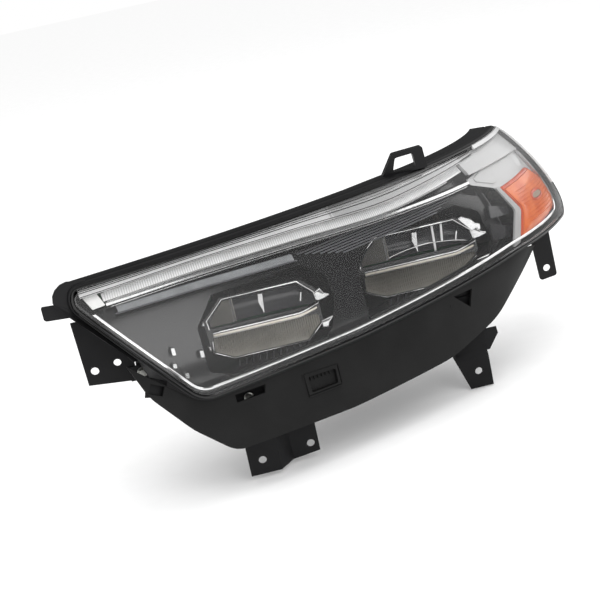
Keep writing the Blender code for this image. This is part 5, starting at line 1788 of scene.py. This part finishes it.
@dataclass
class Skirt:
    """Grained lower cover panel with its pocket and cut-outs."""

    foot: tuple[Corner, ...] = (
        (0.046, 0.004, 0.001), (0.061, -0.036, 0.060), (0.100, -0.086, 0.080), (0.140, -0.122, 0.030),
        (0.300, -0.1235, 0.300), (0.452, -0.1165, 0.250), (0.548, -0.0970, 0.200), (0.680, -0.0400, 0.001),
    )
    depth: float = 14.0 * MM
    thick: float = 2.5 * MM
    left: int = 24
    under: int = 72
    up: int = 16

    def grid(self, depth: float) -> list[Loop]:
        """Rows of points from the rim's underside to the panel's own edge."""
        sides = RIM.sides(-1.5 * MM)
        rim_left = [p for p in sides[3] if p[1] < 0.040]
        rim_under = [p for p in sides[0] if p[0] < 0.682]
        arcs = []
        for i in range(1, len(self.foot) - 1):
            arcs.append(corner_arc(self.foot[i - 1], self.foot[i], self.foot[i + 1], 8))
        foot_left = [self.foot[0], *arcs[0], *arcs[1], *arcs[2][:5]]
        foot_under = [*arcs[2][4:], *arcs[3], *arcs[4], *arcs[5], self.foot[-1]]
        top = RIM.resample(rim_left, self.left, 0.0)[:-1] + RIM.resample(rim_under, self.under, 0.0)
        foot = RIM.resample(foot_left, self.left, 0.0)[:-1] + RIM.resample(foot_under, self.under, 0.0)
        rows = []
        for j in range(self.up + 1):
            v = j / self.up
            row = []
            for (s0, z0), (s1, z1) in zip(top, foot):
                s, z = s0 + (s1 - s0) * v, z0 + (z1 - z0) * v
                row.append(SWEEP.point(s, z, depth + 9 * MM * v ** 3))
            rows.append(row)
        return rows

    def build(self) -> None:
        """The panel with its boss, pocket, cut-outs and creases."""
        boss = ((0.2430, -0.0930), (0.2880, -0.0930), (0.2905, -0.0680), (0.2440, -0.0660))
        pocket = rounded((
            (0.2475, -0.0885, 0.002), (0.2835, -0.0885, 0.002),
            (0.2855, -0.0720, 0.002), (0.2485, -0.0705, 0.002),
        ), 4)
        notches = (
            ((0.4780, -0.0465), (0.5020, -0.0680), (0.5110, -0.0470)),
            ((0.1560, -0.0700), (0.1920, -0.0700), (0.1950, -0.0610), (0.1560, -0.0610)),
            ((0.0600, -0.0300), (0.0740, -0.0360), (0.0790, -0.0260), (0.0650, -0.0190)),
        )
        creases = (
            ((0.2405, -0.0900), (0.2415, -0.0900), (0.2420, -0.0655), (0.2410, -0.0655)),
            ((0.2435, -0.1250), (0.2445, -0.1250), (0.2465, -0.0945), (0.2455, -0.0945)),
            ((0.4665, -0.1130), (0.4675, -0.1130), (0.4695, -0.0545), (0.4685, -0.0545)),
            ((0.2435, -0.0915), (0.2870, -0.0915), (0.2870, -0.0905), (0.2435, -0.0905)),
            ((0.2868, -0.0900), (0.2880, -0.0900), (0.2898, -0.0690), (0.2886, -0.0690)),
        )
        panel = mesh_of(sheet(self.grid(self.depth), self.grid(self.depth + self.thick)), "skirt")
        mesh = worked(panel, (
            (Joinery.JOIN, SWEEP.prism(boss, 13.2 * MM, 26 * MM)),
            (Joinery.CUT, SWEEP.prism(pocket, 8 * MM, 18.5 * MM)),
            (Joinery.CUT, together(SWEEP.prism(n, 6 * MM, 30 * MM) for n in notches)),
            (Joinery.CUT, together(SWEEP.prism(c, 8 * MM, 14.9 * MM) for c in creases)),
        ))
        place_piece("skirt_panel", mesh, SKIRT_PLASTIC, "root", ("lower_skirt",), 0.5)
        teeth = []
        for k in range(6):
            s = 0.2520 + 0.0052 * k
            corners = ((s, -0.0765), (s + 0.0012, -0.0765), (s + 0.0014, -0.0715), (s + 0.0002, -0.0715))
            teeth.append(SWEEP.prism(corners, 16.2 * MM, 19.5 * MM))
        add_piece("pocket_teeth", together(teeth), SKIRT_PLASTIC)
        recess = ((0.0560, -0.0340), (0.0780, -0.0400), (0.0860, -0.0240), (0.0640, -0.0120))
        add_piece("recess_floor", SWEEP.prism(recess, 24 * MM, 26 * MM), BLACK_PLASTIC, bevel_mm=0.3)


@dataclass
class Fittings:
    """Brackets, screws and everything on the rear wall."""

    bevel_mm: float = 0.5

    def clip(self) -> None:
        """Small wiring clip under the skirt, with two holes."""
        plate = rounded((
            (0.0915, -0.0840, 0.002), (0.0960, -0.0990, 0.002),
            (0.1130, -0.1015, 0.003), (0.1210, -0.0860, 0.002),
        ), 4)
        holes = together(
            rod(1.5 * MM, SWEEP.point(s, z, 0.010), SWEEP.point(s, z, 0.060))
            for s, z in ((0.1000, -0.0945), (0.1090, -0.0965))
        )
        mesh = worked(mesh_of(SWEEP.prism(plate, 26 * MM, 28.5 * MM), "clip"), ((Joinery.CUT, holes),))
        place_piece("wiring_clip", mesh, BLACK_PLASTIC, "root", (), 0.3)

    def build(self) -> None:
        """Every fitting, with its edges rounded."""
        for node in ("inboard_plate", "lower_inboard_bracket", "lower_outboard_bracket"):
            refined(node, self.bevel_mm, BRACKET_PLASTIC)
        for node in ("inboard_plate_screw", "lower_inboard_screw", "lower_outboard_screw"):
            refined(node, 0.25, ZINC)
        for k in range(4):
            refined("driver_screw_%d" % (k + 1), 0.25, ZINC)
        refined("access_cap", 0.8, BLACK_PLASTIC, "cap")
        dress(("access_cap_seal",), RUBBER)
        refined("led_driver", 0.5, CAST_ALUMINIUM)
        dress(("driver_gasket", "vent_cap_1", "vent_cap_2"), RUBBER)
        refined("connector_socket", 0.4, BLACK_PLASTIC)
        dress(("connector_terminals",), BRASS)
        dress(("carrier_frame",), BLACK_PLASTIC)
        dress(("aim_screw",), ZINC)
        dress(("aim_screw_bush", "aim_nut", "inboard_ball_stud", "outboard_ball_stud"), NYLON)


# --------------------------------------------------------------- studio

@dataclass
class Studio:
    """Pale floor, soft lights and the camera."""

    target: Vector = field(default_factory=lambda: Vector((0.235, 0.010, 0.032)))
    azimuth: float = -4.0
    elevation: float = 15.0
    roll: float = 12.3
    distance: float = 1.6
    lens: float = 83.5
    rise: float = 10 / 600
    floor: float = -0.1795

    def camera(self) -> None:
        """A long lens, held a little askew."""
        a, e, r = (math.radians(v) for v in (self.azimuth, self.elevation, self.roll))
        back = Vector((math.sin(a) * math.cos(e), -math.cos(a) * math.cos(e), math.sin(e)))
        right = Vector((math.cos(a), math.sin(a), 0.0))
        up = back.cross(right)
        side, top = right * math.cos(r) - up * math.sin(r), right * math.sin(r) + up * math.cos(r)
        data = bpy.data.cameras.new("camera")
        data.lens = self.lens
        data.shift_y = -self.rise
        item = bpy.data.objects.new("camera", data)
        basis = Matrix((side, top, back)).transposed().to_4x4()
        item.matrix_world = Matrix.Translation(self.target + back * self.distance) @ basis
        bpy.context.scene.collection.objects.link(item)
        bpy.context.scene.camera = item

    def light(self, name: str, azimuth: float, elevation: float, distance: float,
              size: Pair, radiance: float) -> None:
        """One soft box, aimed at the lamp.

        Args:
            name: The light's name.
            azimuth: Degrees to the right of straight ahead.
            elevation: Degrees above the lamp.
            distance: Metres from the lamp.
            size: Width and height.
            radiance: Brightness of its face.
        """
        a, e = math.radians(azimuth), math.radians(elevation)
        back = Vector((math.sin(a) * math.cos(e), -math.cos(a) * math.cos(e), math.sin(e)))
        data = bpy.data.lights.new(name, 'AREA')
        data.shape = 'RECTANGLE'
        data.size, data.size_y = size
        data.energy = radiance * math.pi * size[0] * size[1]
        item = bpy.data.objects.new(name, data)
        turn = back.to_track_quat('Z', 'Y').to_matrix().to_4x4()
        item.matrix_world = Matrix.Translation(self.target + back * distance) @ turn
        bpy.context.scene.collection.objects.link(item)

    def build(self) -> None:
        """World, floor, lights and camera."""
        world = bpy.data.worlds.new("studio")
        world.use_nodes = True
        tree = world.node_tree
        tree.nodes.clear()
        seen = add_node(tree, "ShaderNodeBackground", {"Color": linear("#ffffff"), "Strength": 1.0})
        lit = add_node(tree, "ShaderNodeBackground", {"Color": linear("#f7f7f7"), "Strength": 1.06})
        mirrored = add_node(tree, "ShaderNodeBackground", {"Color": linear("#f6f6f6"), "Strength": 0.22})
        rays = add_node(tree, "ShaderNodeLightPath")
        soft = add_node(tree, "ShaderNodeMixShader", None, {
            0: rays.outputs["Is Glossy Ray"], 1: lit.outputs[0], 2: mirrored.outputs[0],
        })
        mix = add_node(tree, "ShaderNodeMixShader", None, {
            0: rays.outputs["Is Camera Ray"], 1: soft.outputs[0], 2: seen.outputs[0],
        })
        add_node(tree, "ShaderNodeOutputWorld", links={"Surface": mix.outputs[0]})
        bpy.context.scene.world = world
        bpy.context.scene.view_settings.view_transform = 'Standard'
        reach = 14.0
        floor = bpy.data.meshes.new("floor")
        floor.from_pydata(
            [(x * reach, y * reach, self.floor) for x, y in ((-1, -1), (1, -1), (1, 1), (-1, 1))],
            [], [(0, 1, 2, 3)],
        )
        item = bpy.data.objects.new("floor", floor)
        paper = MouldedPlastic("pale_floor", "", "#fafafa", "#fdfdfd", 0.9, 1.2, 0.0, 0.0)
        floor.materials.append(paper.material())
        bpy.context.scene.collection.objects.link(item)
        self.light("front", 26.0, 30.0, 3.2, (1.5, 2.4), 2.2)
        self.light("overhead", -30.0, 72.0, 3.0, (3.0, 2.0), 1.4)
        self.light("outboard", 118.0, 30.0, 3.4, (2.4, 2.4), 1.6)
        self.camera()


def main() -> None:
    """Builds the lamp, then the studio, and reports each piece."""
    logging.basicConfig(level=logging.INFO, format="%(message)s")
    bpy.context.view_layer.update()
    lamp = (Housing(), LensCover(), Bezel(), RunningLight(), TurnLamp(), *MODULES, Skirt(), Fittings())
    for part in (*lamp, Studio()):
        part.build()
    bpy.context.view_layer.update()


if __name__ == "__main__":
    main()
